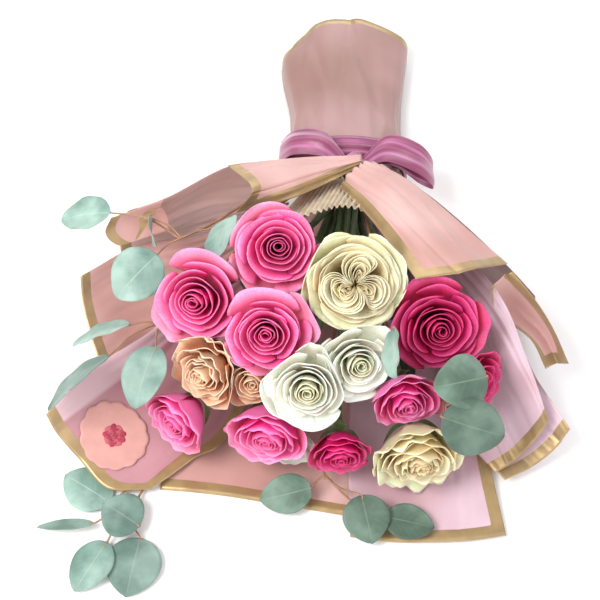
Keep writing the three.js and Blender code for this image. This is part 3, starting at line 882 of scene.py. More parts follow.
@dataclass
class Bloom:
    """One open rose: cupped petals round a heart of folded ones.

    Attributes:
        number: the rose's number, which also seeds its unevenness.
        plan: where it is and how it is built.
        rows: grid rows of a petal, from base to rim.
        columns: grid columns of a petal.
        wall: a petal's thickness, in millimetres.
        golden_angle: turn from one petal to the next.
        press: share of what passes into a neighbour that is pushed back.
        near: how near a neighbour has to be to count, in sums of the two radii.
        lowest: lowest that a petal may reach, in millimetres.
    """

    number: int
    plan: RosePlan
    rows: int = 15
    columns: int = 19
    wall: float = 0.45
    golden_angle: float = math.radians(137.508)
    press: float = 0.82
    near: float = 1.15
    lowest: float = 6.0

    def __post_init__(self) -> None:
        """Sets up the petal's own grid and the bloom's source of unevenness."""
        self.rng = np.random.default_rng(4100 + self.number)
        self.sway = self.rng.normal(0, 0.05, 2)
        self.u = np.linspace(-1, 1, self.columns)[None, :]
        self.v = np.linspace(0, 1, self.rows)[:, None]

    def cup_petal(self, t: float, azimuth: float) -> Patch:
        """One petal of the cup.

        A Bezier profile leads from the base out to the rim, and is turned about the axis over
        the petal's width. The rim rolls outwards, the sides roll back, one side lies nearer
        the axis than the other, and low waves ruffle the rim.

        Args:
            t: 0 for the innermost petal and 1 for the outermost.
            azimuth: where its middle is, round the axis.

        Returns:
            The petal, in radii about the bloom's own axis.
        """
        rng, u, v, cup = self.rng, self.u, self.v, self.plan.cup
        start = 0.09 if self.plan.heart is Heart.SPIRAL else 0.64
        ring = start + (1 - start) * t**1.22 + rng.normal(0, 0.006 + 0.014 * t)
        reach = min(max((ring - 0.10) / 0.90, 0.0), 1.0)
        point = 0.06 * reach * np.exp(-((u / 0.22) ** 2)) * rng.uniform(-0.3, 1.0)
        outline = 1 - 0.2 * np.abs(u) ** 2.6 + point
        s = v * outline
        half = math.radians(54 + 74 * (1 - reach) ** 1.6) * rng.uniform(0.9, 1.12)
        angle = azimuth + u * half * (0.5 + 0.5 * np.sin(0.55 * np.pi * np.minimum(s, 1)))
        lean = -0.26 * (1 - reach) ** 1.2 + (0.12 - 0.1 * cup) * reach**1.5
        top = 0.47 - (0.44 - 0.40 * cup) * reach**1.6 + rng.normal(0, 0.02)
        r = bezier(s, 0.05, 0.32 * ring + 0.16 * reach, 1.06 * ring, ring * (1 + lean))
        z = bezier(s, -0.76, -0.70 + 0.1 * reach, top - 0.36, top)
        roll = smoothstep(0.72, 1.0, s) * (0.02 + (0.2 - 0.1 * cup) * reach**1.3) * rng.uniform(0.5, 1.3)
        r = r + roll + (0.02 + 0.12 * reach) * np.abs(u) ** 4 * s**2
        z = z - 0.8 * roll * smoothstep(0.80, 1.0, s) + rng.normal(0, 0.035) * u * s
        r = r * (1 + 0.09 * u * (1 - 0.5 * reach))
        ruffle = (0.006 + 0.03 * reach) * s**3 * self.plan.ruffle
        beat = rng.uniform(1.1, 2.6)
        r = r + ruffle * np.sin(beat * np.pi * u + rng.uniform(0, 6.28))
        z = z + 1.3 * ruffle * np.sin(1.7 * beat * np.pi * u + rng.uniform(0, 6.28))
        r = np.maximum(r, 0.012)
        x = r * np.cos(angle) + self.sway[0] * (1 - reach)
        y = r * np.sin(angle) * (1 - 0.12 * (1 - reach)) + self.sway[1] * (1 - reach)
        points = np.stack([x, y, z + 0 * u], axis=-1)
        return Patch(points, layers={"ring": reach, "rise": s, "tone": rng.uniform(0, 1)})

    def folded_petal(self, middle: float, spread: float, share: float) -> Patch:
        """One petal of a nested heart, folded round the middle of its quarter.

        Seen from the front its rim is a narrow arch: it starts by the axis, runs out along one
        side of the quarter, turns at the tip and comes back. The petal hangs down from that
        rim and narrows towards the base, and its rim is wavy.

        Args:
            middle: the quarter's middle, round the axis.
            spread: half the angle of the quarter.
            share: which petal of the nest, from 0 for the smallest to 1 for the outermost.

        Returns:
            The petal, in radii about the bloom's own axis.
        """
        rng, u, v = self.rng, self.u, self.v
        tip = 0.16 + 0.56 * share + rng.normal(0, 0.015)
        near = 0.03 + 0.10 * rng.random()
        wave = rng.uniform(1.4, 2.6)
        phase = rng.uniform(0, 6.28)
        arch = near + (tip - near) * (1 - np.abs(u) ** 2.2)
        angle = middle + spread * (0.2 + 0.8 * share) * np.sin(u * np.pi / 2) + 0.9 * (tip - arch)
        shrink = 0.6 + 0.4 * v**0.7
        r = arch * shrink + 0.03 * np.sin(wave * np.pi * u + phase) * v**2 + 0.05 * smoothstep(0.75, 1.0, v)
        dome = 0.44 - 0.22 * arch**1.5 - 0.16 * np.exp(-((arch / 0.16) ** 2)) + rng.normal(0, 0.015)
        top = dome + 0.03 * np.cos(wave * np.pi * u)
        z = -0.25 + (top + 0.25) * v
        points = np.stack([r * np.cos(angle) + self.sway[0], r * np.sin(angle) + self.sway[1], z], axis=-1)
        ring = 0.12 + 0.5 * share
        rise = 0.35 + 0.65 * v + 0 * u
        return Patch(points, layers={"ring": ring, "rise": rise, "tone": rng.uniform(0, 1)})

    def petals(self) -> list[Patch]:
        """All the petals, in radii about the bloom's own axis.

        Each cup petal is a golden angle on from the last. A quartered heart has three sectors
        of random width, and each holds a nest of folded petals.

        Returns:
            The petals, from the innermost of the cup outwards, then the nests.
        """
        count = self.plan.petals
        start = self.rng.uniform(0, 2 * np.pi)
        turns = start + self.golden_angle * np.arange(count) + self.rng.normal(0, 0.2, count)
        made = [self.cup_petal(k / (count - 1), turns[k]) for k in range(count)]
        quarters = 3 if self.plan.heart is Heart.QUARTERED else 0
        shares = self.rng.uniform(0.7, 1.5, quarters)
        edges = start + 2 * np.pi * np.concatenate([[0.0], np.cumsum(shares / max(shares.sum(), 1e-9))])
        for low, high in zip(edges[:-1], edges[1:]):
            nested = 5 + int(round(2 * (high - low)))
            for j in range(nested):
                made.append(self.folded_petal((low + high) / 2, (high - low) / 2, j / (nested - 1)))
        return made

    def place(self, points: np.ndarray) -> np.ndarray:
        """Carries points from the bloom's own axis to the bunch, and presses them on neighbours.

        A neighbour is met on the plane between the two blooms: what would pass that plane is
        laid against it.

        Args:
            points: positions in radii.

        Returns:
            Positions in millimetres, in the frame.
        """
        plan = self.plan
        side, other = square_to(plan.looks)
        local = points * plan.radius * plan.fit
        placed = plan.centre + local[..., :1] * side + local[..., 1:2] * other + local[..., 2:] * plan.looks
        for neighbour in ROSES:
            apart = neighbour.centre - plan.centre
            distance = float(np.linalg.norm(apart))
            if neighbour is plan or distance > self.near * (plan.radius + neighbour.radius):
                continue
            toward = apart / distance
            wall = distance * plan.radius / (plan.radius + neighbour.radius)
            past = (placed - plan.centre) @ toward - wall
            placed = placed - np.maximum(past, 0)[..., None] * toward * self.press
        placed[..., 2] = np.maximum(placed[..., 2], self.lowest)
        return placed

    def build(self, materials: list[bpy.types.Material]) -> None:
        """Makes the bloom's mesh.

        Args:
            materials: what the petals' faces and backs are made of.
        """
        patches = self.petals()
        for patch in patches:
            patch.points = self.place(patch.points)
        node = f"rose_{self.number}_bloom"
        slot = self.plan.tint.slot
        Piece(f"petals_{self.number}", patches, (node,), slot, materials, self.wall, two_sided=True).make()


@dataclass
class Stems:
    """The rose stems: cut ends in the handle, the tie, the hips, sepals and foliage.

    Attributes:
        tie: middle of the lowest row of stems at the tie.
        pitch: distance between stems.
        row: stems in a row.
        cut_y: where the stems are cut.
        radius: a stem's radius.
        hip: radius of the swelling under a bloom.
    """

    tie: tuple[float, float, float] = (40.0, 105.0, 15.0)
    pitch: float = 7.0
    row: int = 4
    cut_y: float = 268.0
    radius: float = 2.6
    hip: float = 5.5

    def slots(self) -> dict[int, np.ndarray]:
        """Each rose's place in the tied bundle: lowest blooms in the lowest row, left to right.

        Returns:
            The stem's offset from the middle of the lowest row, by the rose's number.
        """
        base = [rose.neck + rose.looks * self.hip for rose in ROSES]
        order = sorted(range(len(ROSES)), key=lambda k: base[k][2])
        found = {}
        for start in range(0, len(order), self.row):
            row = sorted(order[start : start + self.row], key=lambda k: base[k][0])
            for column, k in enumerate(row):
                across = (column - (self.row - 1) / 2) * self.pitch
                found[k] = np.array([across, 0.0, start / self.row * self.pitch])
        return found

    def path(self, rose: RosePlan, slot: np.ndarray) -> np.ndarray:
        """A stem's middle line: straight from the cut to the tie, then a Bezier up to the neck.

        Args:
            rose: the bloom it leads to.
            slot: its place in the tied bundle.

        Returns:
            (points, 3) positions in millimetres.
        """
        tie = np.array(self.tie) + slot
        cut = np.array([tie[0], self.cut_y, 8 + 0.8 * slot[2]])
        span = float(np.linalg.norm(rose.neck - tie))
        lead = tie - np.array([0, 0.3 * span, 0])
        rise = rose.neck - rose.looks * 0.3 * span
        bend = bezier(np.linspace(0, 1, 40)[1:, None], tie, lead, rise, rose.neck)
        straight = cut + (tie - cut) * np.linspace(0, 1, 14)[:, None]
        return np.concatenate([straight, bend])

    def sepals(self, rose: RosePlan, rng: np.random.Generator) -> list[Patch]:
        """Five narrow green leaves that spread from the hip under the bloom.

        Args:
            rose: the bloom above them.
            rng: source of their unevenness.

        Returns:
            One grid each, whose half width goes as the sine of the way along.
        """
        side, other = square_to(rose.looks)
        u, v = np.linspace(-1, 1, 5)[None, :], np.linspace(0, 1, 9)[:, None]
        made = []
        for k in range(5):
            angle = 2 * np.pi * k / 5 + rng.normal(0, 0.2)
            out = side * math.cos(angle) + other * math.sin(angle)
            across = np.cross(rose.looks, out)
            width = 3.4 * np.sin(np.pi * np.clip(v * 0.85 + 0.15, 0, 1)) ** 0.8
            reach = 4 + rose.radius * 0.55 * v
            back = -rose.radius * 0.08 * np.sin(np.pi * v) + rose.radius * 0.30 * v**1.5
            points = rose.neck + out * reach[..., None] + across * (u * width)[..., None]
            points = points + rose.looks * (self.hip * 0.7 + back + 0 * u)[..., None]
            made.append(Patch(points, layers={"tone": rng.uniform(0.3, 0.8)}, finish=1))
        return made

    def foliage(self, path: np.ndarray, rng: np.random.Generator) -> list[Patch]:
        """Three dark leaflets on a stem, a little below its bloom.

        Args:
            path: the stem's middle line.
            rng: source of their places.

        Returns:
            One closed grid each.
        """
        made = []
        for share in (0.62, 0.72, 0.82):
            root = path[int(share * (len(path) - 1))]
            side = 1 if rng.random() < 0.5 else -1
            tip = root + np.array([side * rng.uniform(14, 26), -rng.uniform(16, 30), rng.uniform(2, 16)])
            leaf = LeafBlade(tuple(root), tuple(tip), 18.0, rng.uniform(-30, 30), False)
            made.append(leaf.patch(rng, 2))
        return made

    def build(self) -> None:
        """Makes every stem with its hip and sepals, and leaflets on every other one."""
        stalk = PlainFinish("rose_stem", 0.5, WAXY, body=colour(92, 120, 62), dark=0.35, relief=0.2).make()
        sepal = PlainFinish("sepal", 0.55, WAXY, body=colour(104, 136, 74), dark=0.3, relief=0.2).make()
        foliage = LeafFinish(
            "rose_leaf", 0.45, WAXY,
            body=colour(36, 58, 34), wax=colour(52, 78, 46), vein=colour(80, 104, 66),
        ).make()
        slots = self.slots()
        for k, rose in enumerate(ROSES):
            rng = np.random.default_rng(700 + k)
            path = self.path(rose, slots[k])
            radii = self.radius * (1 + 0.05 * np.sin(np.arange(len(path)) * 0.9 + k))
            patches = [Patch(sweep(path, radii, 12), True, {"tone": 0.5})]
            swell = np.linspace(-1, 1, 11)
            hip = rose.neck + rose.looks * (swell * self.hip)[:, None]
            round_hip = self.hip * np.sqrt(np.maximum(1 - swell**2, 0.08))
            patches.append(Patch(sweep(hip, round_hip, 14), True, {"tone": 0.5}, 1))
            patches += self.sepals(rose, rng)
            if k % 2 == 0:
                patches += self.foliage(path, rng)
            name, node = f"stalk_{k + 1}", f"rose_{k + 1}_stem"
            finishes = [stalk, sepal, foliage]
            Piece(name, patches, (node,), "rose_stem", finishes, outward=True).make()


# ---------------------------------------------------------------------------------------------
# Eucalyptus
# ---------------------------------------------------------------------------------------------
@dataclass(frozen=True)
class LeafBlade:
    """One leaf; lengths in millimetres.

    Attributes:
        base: where the blade starts.
        tip: where it ends.
        width: its widest.
        turn: its turn about the midrib, in degrees.
        up: whether it lies flat, face up.
        at: where on the stem its stalk starts, from 0 to 1.
        bend: how far it sags, as a share of its length.
        wall: its thickness.
    """

    base: tuple[float, float, float]
    tip: tuple[float, float, float]
    width: float
    turn: float = 0.0
    up: bool = False
    at: float = 1.0
    bend: float = 0.10
    wall: float = 0.5

    def patch(self, rng: np.random.Generator, finish: int) -> Patch:
        """The closed blade.

        Its half width goes as v^0.6 (1 - v)^0.75: round at the base, with a soft point. The
        blade sags along its length, lifts a little on both sides of the midrib, and its edge
        waves. Front and back are one loop of columns round the blade.

        Args:
            rng: source of the leaf's own bend and wave.
            finish: the material number.

        Returns:
            The blade as a closed grid.
        """
        base, tip = np.array(self.base, float), np.array(self.tip, float)
        length = float(np.linalg.norm(tip - base))
        along = (tip - base) / length
        faces = UP if self.up else FACE
        normal = turn_about(unit(faces - along * np.dot(faces, along)), along, self.turn)
        side = np.cross(along, normal)
        u, v = np.linspace(-1, 1, 15)[None, :], np.linspace(0, 1, 25)[:, None]
        outline = v**0.6 * (1 - v) ** 0.75 / 0.396 * 0.5 * self.width
        sag = -self.bend * length * (v**2) * rng.uniform(0.3, 1.0) + 0.06 * length * np.sin(np.pi * v)
        cup = 0.10 * self.width * np.abs(u) ** 1.3 * rng.uniform(0.1, 1.0)
        wave = 0.018 * self.width * np.sin(5 * np.pi * v + rng.uniform(0, 6)) * u**2
        lift = sag + cup + wave
        if self.up:
            lift = 0.35 * lift
        middle = base + along * (v * length)[..., None] + side * (u * outline)[..., None]
        middle = middle + normal * lift[..., None]
        half = 0.5 * self.wall * normal
        loop = np.concatenate([middle + half, (middle - half)[:, ::-1]], axis=1)
        loop[0] = loop[0].mean(axis=0)
        loop[-1] = loop[-1].mean(axis=0)
        across = np.concatenate([u, u[:, ::-1]], axis=1)
        return Patch(loop, True, {"tone": rng.uniform(0.2, 1.0), "across": across, "along": v}, finish)

    def stalk(self, root: np.ndarray) -> Patch:
        """The thin stalk from the stem to the blade, with a slight bow.

        Args:
            root: where on the stem it starts.

        Returns:
            A closed skin about a smooth curve, thinner at the blade.
        """
        base, tip = np.array(self.base, float), np.array(self.tip, float)
        inside = base + 0.1 * (tip - base)
        bow = 0.08 * np.linalg.norm(base - root) * unit(np.cross(base - root + 1e-3, FACE))
        path = curve_through([root, (root + base) / 2 + bow, base, inside], 14)
        return Patch(sweep(path, np.linspace(0.95, 0.7, 14), 8), True, {"tone": 0.5}, 1)


@dataclass
class Sprig:
    """One eucalyptus sprig.

    Attributes:
        node: the CAD node it stands for.
        stem: points that the stem goes through, in millimetres.
        leaves: its leaves.
        shaded_leaves: whether its leaves take the darker copy of the leaf material, which is painted shade.
    """

    node: str
    stem: list[tuple[float, float, float]]
    leaves: list[LeafBlade]
    shaded_leaves: bool = False

    def build(self, materials: list[bpy.types.Material]) -> None:
        """Makes the sprig as one closed mesh per leaf, stalk and stem.

        Args:
            materials: what leaves and twigs are made of.
        """
        rng = own_rng(self.node)
        path = curve_through(self.stem, 60)
        patches = [Patch(sweep(path, np.linspace(1.5, 1.05, 60), 10), True, {"tone": 0.4}, 1)]
        for leaf in self.leaves:
            root = path[int(round(leaf.at * 59))]
            patches += [leaf.patch(rng, 0), leaf.stalk(root)]
        Piece("leaves_" + self.node, patches, (self.node,), "eucalyptus", materials, outward=True).make()


SPRIGS = (
    Sprig("sprig_left_high", [(20, 104, 46), (-30, 50, 84), (-80, -5, 106), (-109, -25, 110)], [
        LeafBlade((-173, 22, 84), (-221, 25, 70), 38, 35, at=0.99),
        LeafBlade((-126, -36, 104), (-162, -70, 88), 47, 8, at=0.99),
        LeafBlade((-62, -14, 128), (-76, -62, 134), 36, 55, at=0.8),
        LeafBlade((-133, 2, 103), (-127, -36, 116), 20, 84, at=0.96),
    ]),
    Sprig("sprig_left_mid", [(18, 102, 38), (-40, 30, 60), (-95, -50, 60), (-128, -84, 66)], [
        LeafBlade((-150, -84, 66), (-202, -98, 60), 32, 70, at=0.99),
        LeafBlade((-164, -120, 76), (-216, -164, 64), 34, 68, at=0.99),
        LeafBlade((-124, -119, 90), (-140, -172, 80), 38, 18, at=0.9),
    ]),
    Sprig("sprig_left_low", [
        (24, 96, 8), (10, 40, 3), (-60, -80, 2.7), (-112, -160, 2.7), (-150, -236, 5),
    ], [
        LeafBlade((-165, -222, 3), (-206, -196, 3), 40, 0, True, at=0.9),
        LeafBlade((-137, -247, 12), (-168, -229, 20), 41, 5, True, at=0.98),
        LeafBlade((-164, -258, 6), (-188, -300, 5), 35, 6, True, at=0.99),
        LeafBlade((-137, -254, 5), (-146, -304, 2), 47, 0, True, at=0.99),
        LeafBlade((-176, -243, 9), (-224, -246, 9), 12, 20, True, at=0.98),
    ]),
    Sprig("sprig_front", [(34, 90, 10), (30, -20, 14), (20, -150, 10), (16, -206, 16)], [
        LeafBlade((6, -214, 17), (-38, -224, 12), 34, 0, at=0.98),
        LeafBlade((47, -222, 20), (56, -262, 12), 40, 0, True, at=0.99),
        LeafBlade((66, -238, 11), (108, -248, 12), 32, 0, True, at=0.97),
    ], True),
    Sprig("sprig_right", [
        (68, 96, 20), (70, 30, 20), (106, -60, 38), (118, -125, 52), (114, -155, 76), (111, -188, 100),
    ], [
        LeafBlade((108, -191, 103), (160, -203, 90), 47, 6, at=0.99),
        LeafBlade((146, -160, 112), (102, -176, 124), 44, 4, at=0.94),
    ], True),
    Sprig("sprig_middle", [(44, 104, 50), (58, 20, 64), (68, -60, 76), (68, -112, 94), (70, -134, 146)], [
        LeafBlade((71, -137, 149), (70, -178, 142), 34, 72, at=0.99),
    ]),
)


# ---------------------------------------------------------------------------------------------
# Wrapper
# ---------------------------------------------------------------------------------------------
class Edge(Enum):
    """An edge of a sheet; rows run across it and follow each other away from the tie."""

    TIE = (0, 0)
    RIM = (0, -1)
    LEFT = (1, 0)
    RIGHT = (1, -1)


@dataclass
class Sheet:
    """One fold of the wrapping film.

    Attributes:
        node: the CAD node it stands for.
        rows: points that shape it, in millimetres.
        hems: edges with the printed band.
        pinned: edges that meet another fold, where the relief fades out.
        film: which film it is.
        turned: share of the width, from the left edge, that takes the sheen colour: a painted highlight
            standing for the light on a rolled edge.
        held: how the sheet is held; not used.
        crumple: height of the soft relief.
        gathers: number of pleats that run out from the tie.
        creases: number of sharp creases.
        floor: lowest that the film's middle may lie.
        along: grid rows.
        across: grid columns.
        wall: thickness that the film is drawn with, in millimetres.
    """

    node: str
    rows: Rows
    hems: tuple[Edge, ...] = (Edge.RIM,)
    pinned: tuple[Edge, ...] = ()
    film: Film = Film.DUSTY
    turned: float = 0.0
    held: Held = Held.GATHERED
    crumple: float = 1.6
    gathers: float = 5.0
    creases: int = 5
    floor: float = 0.25
    along: int = 66
    across: int = 56
    wall: float = 0.16

    def relief(self, u: np.ndarray, v: np.ndarray) -> np.ndarray:
        """Height of the film's relief.

        Soft waves, pleats that fade with the distance from the tie, and creases: each crease
        is a straight line whose ridge falls off as exp(-distance / width).

        Args:
            u: place across the sheet, 0 to 1.
            v: place along it, 0 to 1.

        Returns:
            The height at each place, in millimetres.
        """
        rng = own_rng(self.node)
        height = self.crumple * waves(u, v, rng, 7, 1.6)
        pleat = np.cos(2 * np.pi * self.gathers * (u + 0.04 * np.sin(7 * u)) + rng.uniform(0, 6.28))
        height = height + 3.0 * (0.5 - np.abs(pleat)) * np.exp(-v / 0.4)
        for _ in range(self.creases):
            heading = rng.uniform(-0.5, 0.5)
            middle = rng.uniform(0.1, 0.9)
            off = (u - middle) - heading * (v - rng.uniform(0.2, 0.9))
            reach = np.exp(-(((v - rng.uniform(0.2, 0.9)) / rng.uniform(0.2, 0.5)) ** 2))
            height = height + rng.uniform(-1, 1) * 1.5 * self.crumple * reach * np.exp(-np.abs(off) / 0.03)
        for edge in self.pinned:
            height = height * smoothstep(0.0, 0.18, self.from_edge(u, v, edge))
        return height

    @staticmethod
    def from_edge(u: np.ndarray, v: np.ndarray, edge: Edge) -> np.ndarray:
        """How far a place is from an edge, as a share of the sheet."""
        axis, end = edge.value
        share = v if axis == 0 else u
        return share if end == 0 else 1 - share

    def surface(self) -> np.ndarray:
        """The film's middle surface: the smooth net, moved along its normals by the relief.

        Returns:
            An (along, across, 3) grid in millimetres.
        """
        points = net_surface(self.rows, self.along, self.across)
        u, v = np.meshgrid(np.linspace(0, 1, self.across), np.linspace(0, 1, self.along))
        points = points + normals_of(points) * self.relief(u, v)[..., None]
        points[..., 2] = np.maximum(points[..., 2], self.floor)
        return points

    def hem_distance(self, points: np.ndarray) -> np.ndarray:
        """How far each point is from the nearest hemmed edge, along the film.

        Args:
            points: the film's middle surface.

        Returns:
            The distance at each point, in millimetres.
        """
        nearest = np.full(points.shape[:2], 1e3)
        for edge in self.hems:
            axis, end = edge.value
            gone = travelled(points, axis)
            nearest = np.minimum(nearest, gone if end == 0 else np.take(gone, [-1], axis=axis) - gone)
        return nearest

    def build(self, films: dict[Film, bpy.types.Material]) -> None:
        """Makes the sheet.

        Args:
            films: the material of each film.
        """
        points = self.surface()
        u = np.linspace(0, 1, self.across)[None, :]
        # The band along the left edge is a painted highlight, mixed in by the film's material.
        turned = 1 - smoothstep(self.turned - 0.03, self.turned, u) if self.turned else 0.0
        patch = Patch(points, layers={"hem": self.hem_distance(points), "turned": turned})
        film = [films[self.film]]
        piece = Piece("film_" + self.node, [patch], (self.node,), "film", film, self.wall).make()


SHEETS = (
    Sheet("back_sheet_centre", [
        [(0, 100, 0.5), (27, 100, 0.5), (54, 100, 0.5), (80, 100, 0.5)],
        [(-70, -9, 0.5), (-13, -7, 0.5), (62, -7, 0.5), (110, -9, 0.5)],
        [(-112, -124, 0.5), (-49, -123, 0.5), (41, -123, 0.5), (112, -124, 0.5)],
        [(-124, -209, 0.5), (-68, -215, 0.5), (-4, -226, 0.5), (47, -235, 0.5)],
    ], held=Held.LAID, crumple=0.5, creases=8),
    Sheet("back_sheet_right", [
        [(40, 84, 2.4), (58, 84, 2.4), (74, 84, 2.8), (90, 84, 4)],
        [(42, -54, 2.4), (88, -53, 2.6), (124, -54, 3.4), (152, -57, 8)],
        [(38, -164, 2.4), (83, -164, 2.8), (127, -164, 4.5), (157, -166, 9)],
        [(38, -252, 2.0), (79, -257, 2.4), (129, -257, 4.5), (168, -252, 5.5)],
    ], hems=(Edge.RIM, Edge.RIGHT), film=Film.SATIN, held=Held.LAID, crumple=1.0, creases=7, floor=1.4),
    Sheet("fan_left_sheet", [
        [(-14, 76, 28), (-20, 66, 16), (-20, 48, 7), (-13, 24, 3)],
        [(-97, 30, 38), (-102, 8, 20), (-102, -23, 7), (-96, -50, 3)],
        [(-151, 15, 44), (-161, -14, 24), (-158, -45, 9), (-146, -80, 4)],
        [(-203, -21, 46), (-199, -47, 30), (-190, -76, 14), (-176, -108, 6)],
    ], crumple=1.8, floor=1.6),
    Sheet("front_left_sheet", [
        [(-33, 60, 18), (-28, 50, 11), (-21, 38, 7), (-14, 26, 6), (-4, 12, 5.5)],
        [(-124, -66, 44), (-118, -81, 25), (-102, -104, 13), (-84, -127, 8), (-60, -150, 6)],
        [(-176, -115, 52), (-162, -129, 29), (-144, -147, 16), (-121, -168, 9), (-97, -184, 6)],
        [(-219, -160, 46), (-211, -170, 28), (-192, -188, 15), (-167, -212, 9), (-131, -212, 6.5)],
    ], hems=(Edge.RIM, Edge.RIGHT), film=Film.ROSY, turned=0.2, crumple=0.9, creases=4, floor=4.2),
    Sheet("side_right_inner_sheet", [
        [(90, 38, 80), (84, 28, 62), (82, 26, 42), (78, 18, 22), (74, 4, 10)],
        [(158, -64, 102), (151, -80, 88), (144, -74, 54), (134, -78, 26), (120, -95, 14)],
        [(186, -126, 82), (182, -134, 72), (170, -134, 44), (153, -140, 23), (135, -158, 14)],
        [(203, -170, 54), (200, -174, 48), (191, -182, 30), (179, -191, 18), (162, -199, 12)],
    ], film=Film.SATIN, crumple=2.2, creases=8, floor=2.0),
    Sheet("side_right_outer_sheet", [
        [(98, 50, 44), (94, 42, 24), (88, 24, 9), (82, 0, 6.5)],
        [(175, -76, 58), (162, -86, 29), (148, -100, 11), (134, -128, 9)],
        [(201, -134, 50), (186, -144, 25), (168, -158, 12), (153, -178, 11)],
        [(223, -173, 44), (212, -184, 26), (194, -194, 14), (170, -205, 11)],
    ], film=Film.SATIN, crumple=1.6, floor=2.0),
    # Its inside face takes the lighter copy of the film: painted light, the real film being the same.
    Sheet("wall_left_sheet", [
        [(37, 80, 90), (8, 84, 74), (-14, 86, 40), (-20, 86, 5)],
        [(-29, 60, 110), (-42, 66, 72), (-50, 66, 35), (-54, 62, 4)],
        [(-68, 48, 118), (-84, 52, 77), (-94, 50, 36), (-98, 46, 4)],
        [(-122, 31, 96), (-134, 34, 60), (-140, 32, 30), (-142, 30, 5)],
        [(-160, 30, 76), (-168, 28, 54), (-172, 24, 30), (-172, 22, 8)],
    ], pinned=(Edge.LEFT,), film=Film.PALE, crumple=2.4, creases=8),
    Sheet("wall_right_sheet", [
        [(46, 80, 90), (72, 84, 74), (96, 86, 40), (102, 86, 5)],
        [(95, 33, 112), (110, 43, 74), (118, 47, 36), (121, 47, 4)],
        [(134, -8, 114), (146, 4, 76), (154, 12, 36), (157, 12, 4)],
        [(173, -50, 106), (183, -38, 74), (189, -32, 36), (191, -32, 5)],
        [(198, -66, 84), (204, -60, 56), (206, -56, 32), (205, -56, 7)],
    ], pinned=(Edge.LEFT,), crumple=2.4, creases=8),
    Sheet("fold_left_flap", [
        [(53, 69, 94), (52, 73, 96), (51, 80, 93)],
        [(26, 48, 98), (18, 57, 104), (12, 76, 97)],
        [(-13, 18, 110), (-22, 29, 122), (-29, 60, 112)],
        [(-60, 2, 112), (-45, 11, 133), (-68, 48, 120)],
    ], hems=(Edge.RIM, Edge.LEFT), pinned=(Edge.RIGHT,), held=Held.FOLDED,
        crumple=1.0, gathers=2.5, creases=3),
    Sheet("fold_right_flap", [
        [(31, 44, 94), (44, 57, 100), (56, 72, 96)],
        [(58, -15, 122), (75, 4, 130), (95, 32, 115)],
        [(89, -92, 149), (128, -80, 144), (171, -54, 116)],
    ], hems=(Edge.RIM, Edge.LEFT), pinned=(Edge.RIGHT,), held=Held.FOLDED,
        crumple=1.2, gathers=2.5, creases=3),
    Sheet("roll_left_flap", [
        [(-125, 27, 97), (-130, 24, 84), (-131, 20, 74), (-127, 14, 67),
         (-122, 16, 74), (-124, 20, 84), (-127, 24, 90)],
        [(-174, 21, 78), (-181, 17, 62), (-176, 12, 53), (-165, 9, 52),
         (-155, 17, 63), (-149, 21, 76), (-141, 22, 86)],
    ], pinned=(Edge.LEFT,), held=Held.FOLDED, crumple=0.7, gathers=1.0, creases=2),
    Sheet("roll_right_flap", [
        [(155, -74, 104), (165, -60, 104), (176, -56, 108)],
        [(163, -90, 92), (183, -66, 68), (196, -74, 92)],
        [(191, -106, 76), (207, -86, 52), (212, -95, 76)],
        [(206, -122, 56), (219, -110, 44), (226, -117, 56)],
    ], hems=(Edge.RIM, Edge.LEFT, Edge.RIGHT), held=Held.FOLDED, crumple=0.8, gathers=1.0, creases=2),
    Sheet("sleeve_back", [
        [(-14, 102, 7), (12, 102, 3.8), (40, 102, 3.6), (68, 102, 3.8), (94, 102, 7)],
        [(-14, 146, 5), (12, 146, 2.4), (40, 146, 2.2), (68, 146, 2.4), (95, 146, 5)],
        [(-14, 200, 3.2), (12, 200, 0.5), (40, 200, 0.5), (71, 200, 0.5), (97, 200, 3.2)],
        [(-20, 256, 3.2), (10, 262, 0.5), (42, 264, 0.5), (74, 264, 0.5), (104, 260, 3.2)],
        [(-22, 272, 3.2), (10, 292, 0.5), (42, 300, 0.5), (76, 296, 0.5), (108, 280, 3.2)],
    ], film=Film.HANDLE, held=Held.LAID, crumple=0.5),
    Sheet("sleeve_front", [
        [(-16, 104, 9), (-12, 104, 34), (12, 104, 49), (40, 104, 52),
         (68, 104, 49), (92, 104, 34), (96, 104, 9)],
        [(-15, 186, 6), (-10, 186, 30), (14, 186, 43), (40, 186, 46),
         (68, 186, 43), (92, 186, 30), (98, 186, 6)],
        [(-22, 262, 6), (-15, 273, 26), (17, 300, 38), (42, 303, 41),
         (64, 301, 39), (103, 288, 25), (109, 276, 6)],
    ], film=Film.HANDLE, crumple=2.0, gathers=5.0, creases=14),
)


@dataclass
class Collar:
    """The arch of corrugated cream paper inside the film, open towards the flowers.

    Attributes:
        rows: points that shape it, in millimetres.
        ribs: number of ribs across it.
        depth: height of a rib, from its middle.
        wall: the paper's thickness.
    """

    rows: Rows = field(default_factory=lambda: [
        [(4, 70, 58), (14, 67, 70), (31, 67, 76), (53, 67, 76), (70, 64, 70), (80, 62, 58)],
        [(-34, 12, 66), (-15, 6, 92), (12, 6, 108), (35, 9, 112), (62, 0, 109), (84, -20, 92)],
    ])
    ribs: int = 24
    depth: float = 1.7
    wall: float = 0.5

    def build(self) -> None:
        """Makes the collar: a smooth arch whose height swings with each rib."""
        points = net_surface(self.rows, 32, self.ribs * 6)
        u = np.linspace(0, 1, points.shape[1])[None, :, None]
        points = points + normals_of(points) * self.depth * np.cos(2 * np.pi * self.ribs * u)
        cream = colour(206, 190, 166)
        paper = PlainFinish("collar_paper", 0.85, body=cream, dark=0.2, scale=120.0, relief=0.15)
        patch, skin = [Patch(points)], [paper.make()]
        collar = Piece("ribbed_collar", patch, ("inner_collar",), "collar_paper", skin, self.wall)
        collar.make()


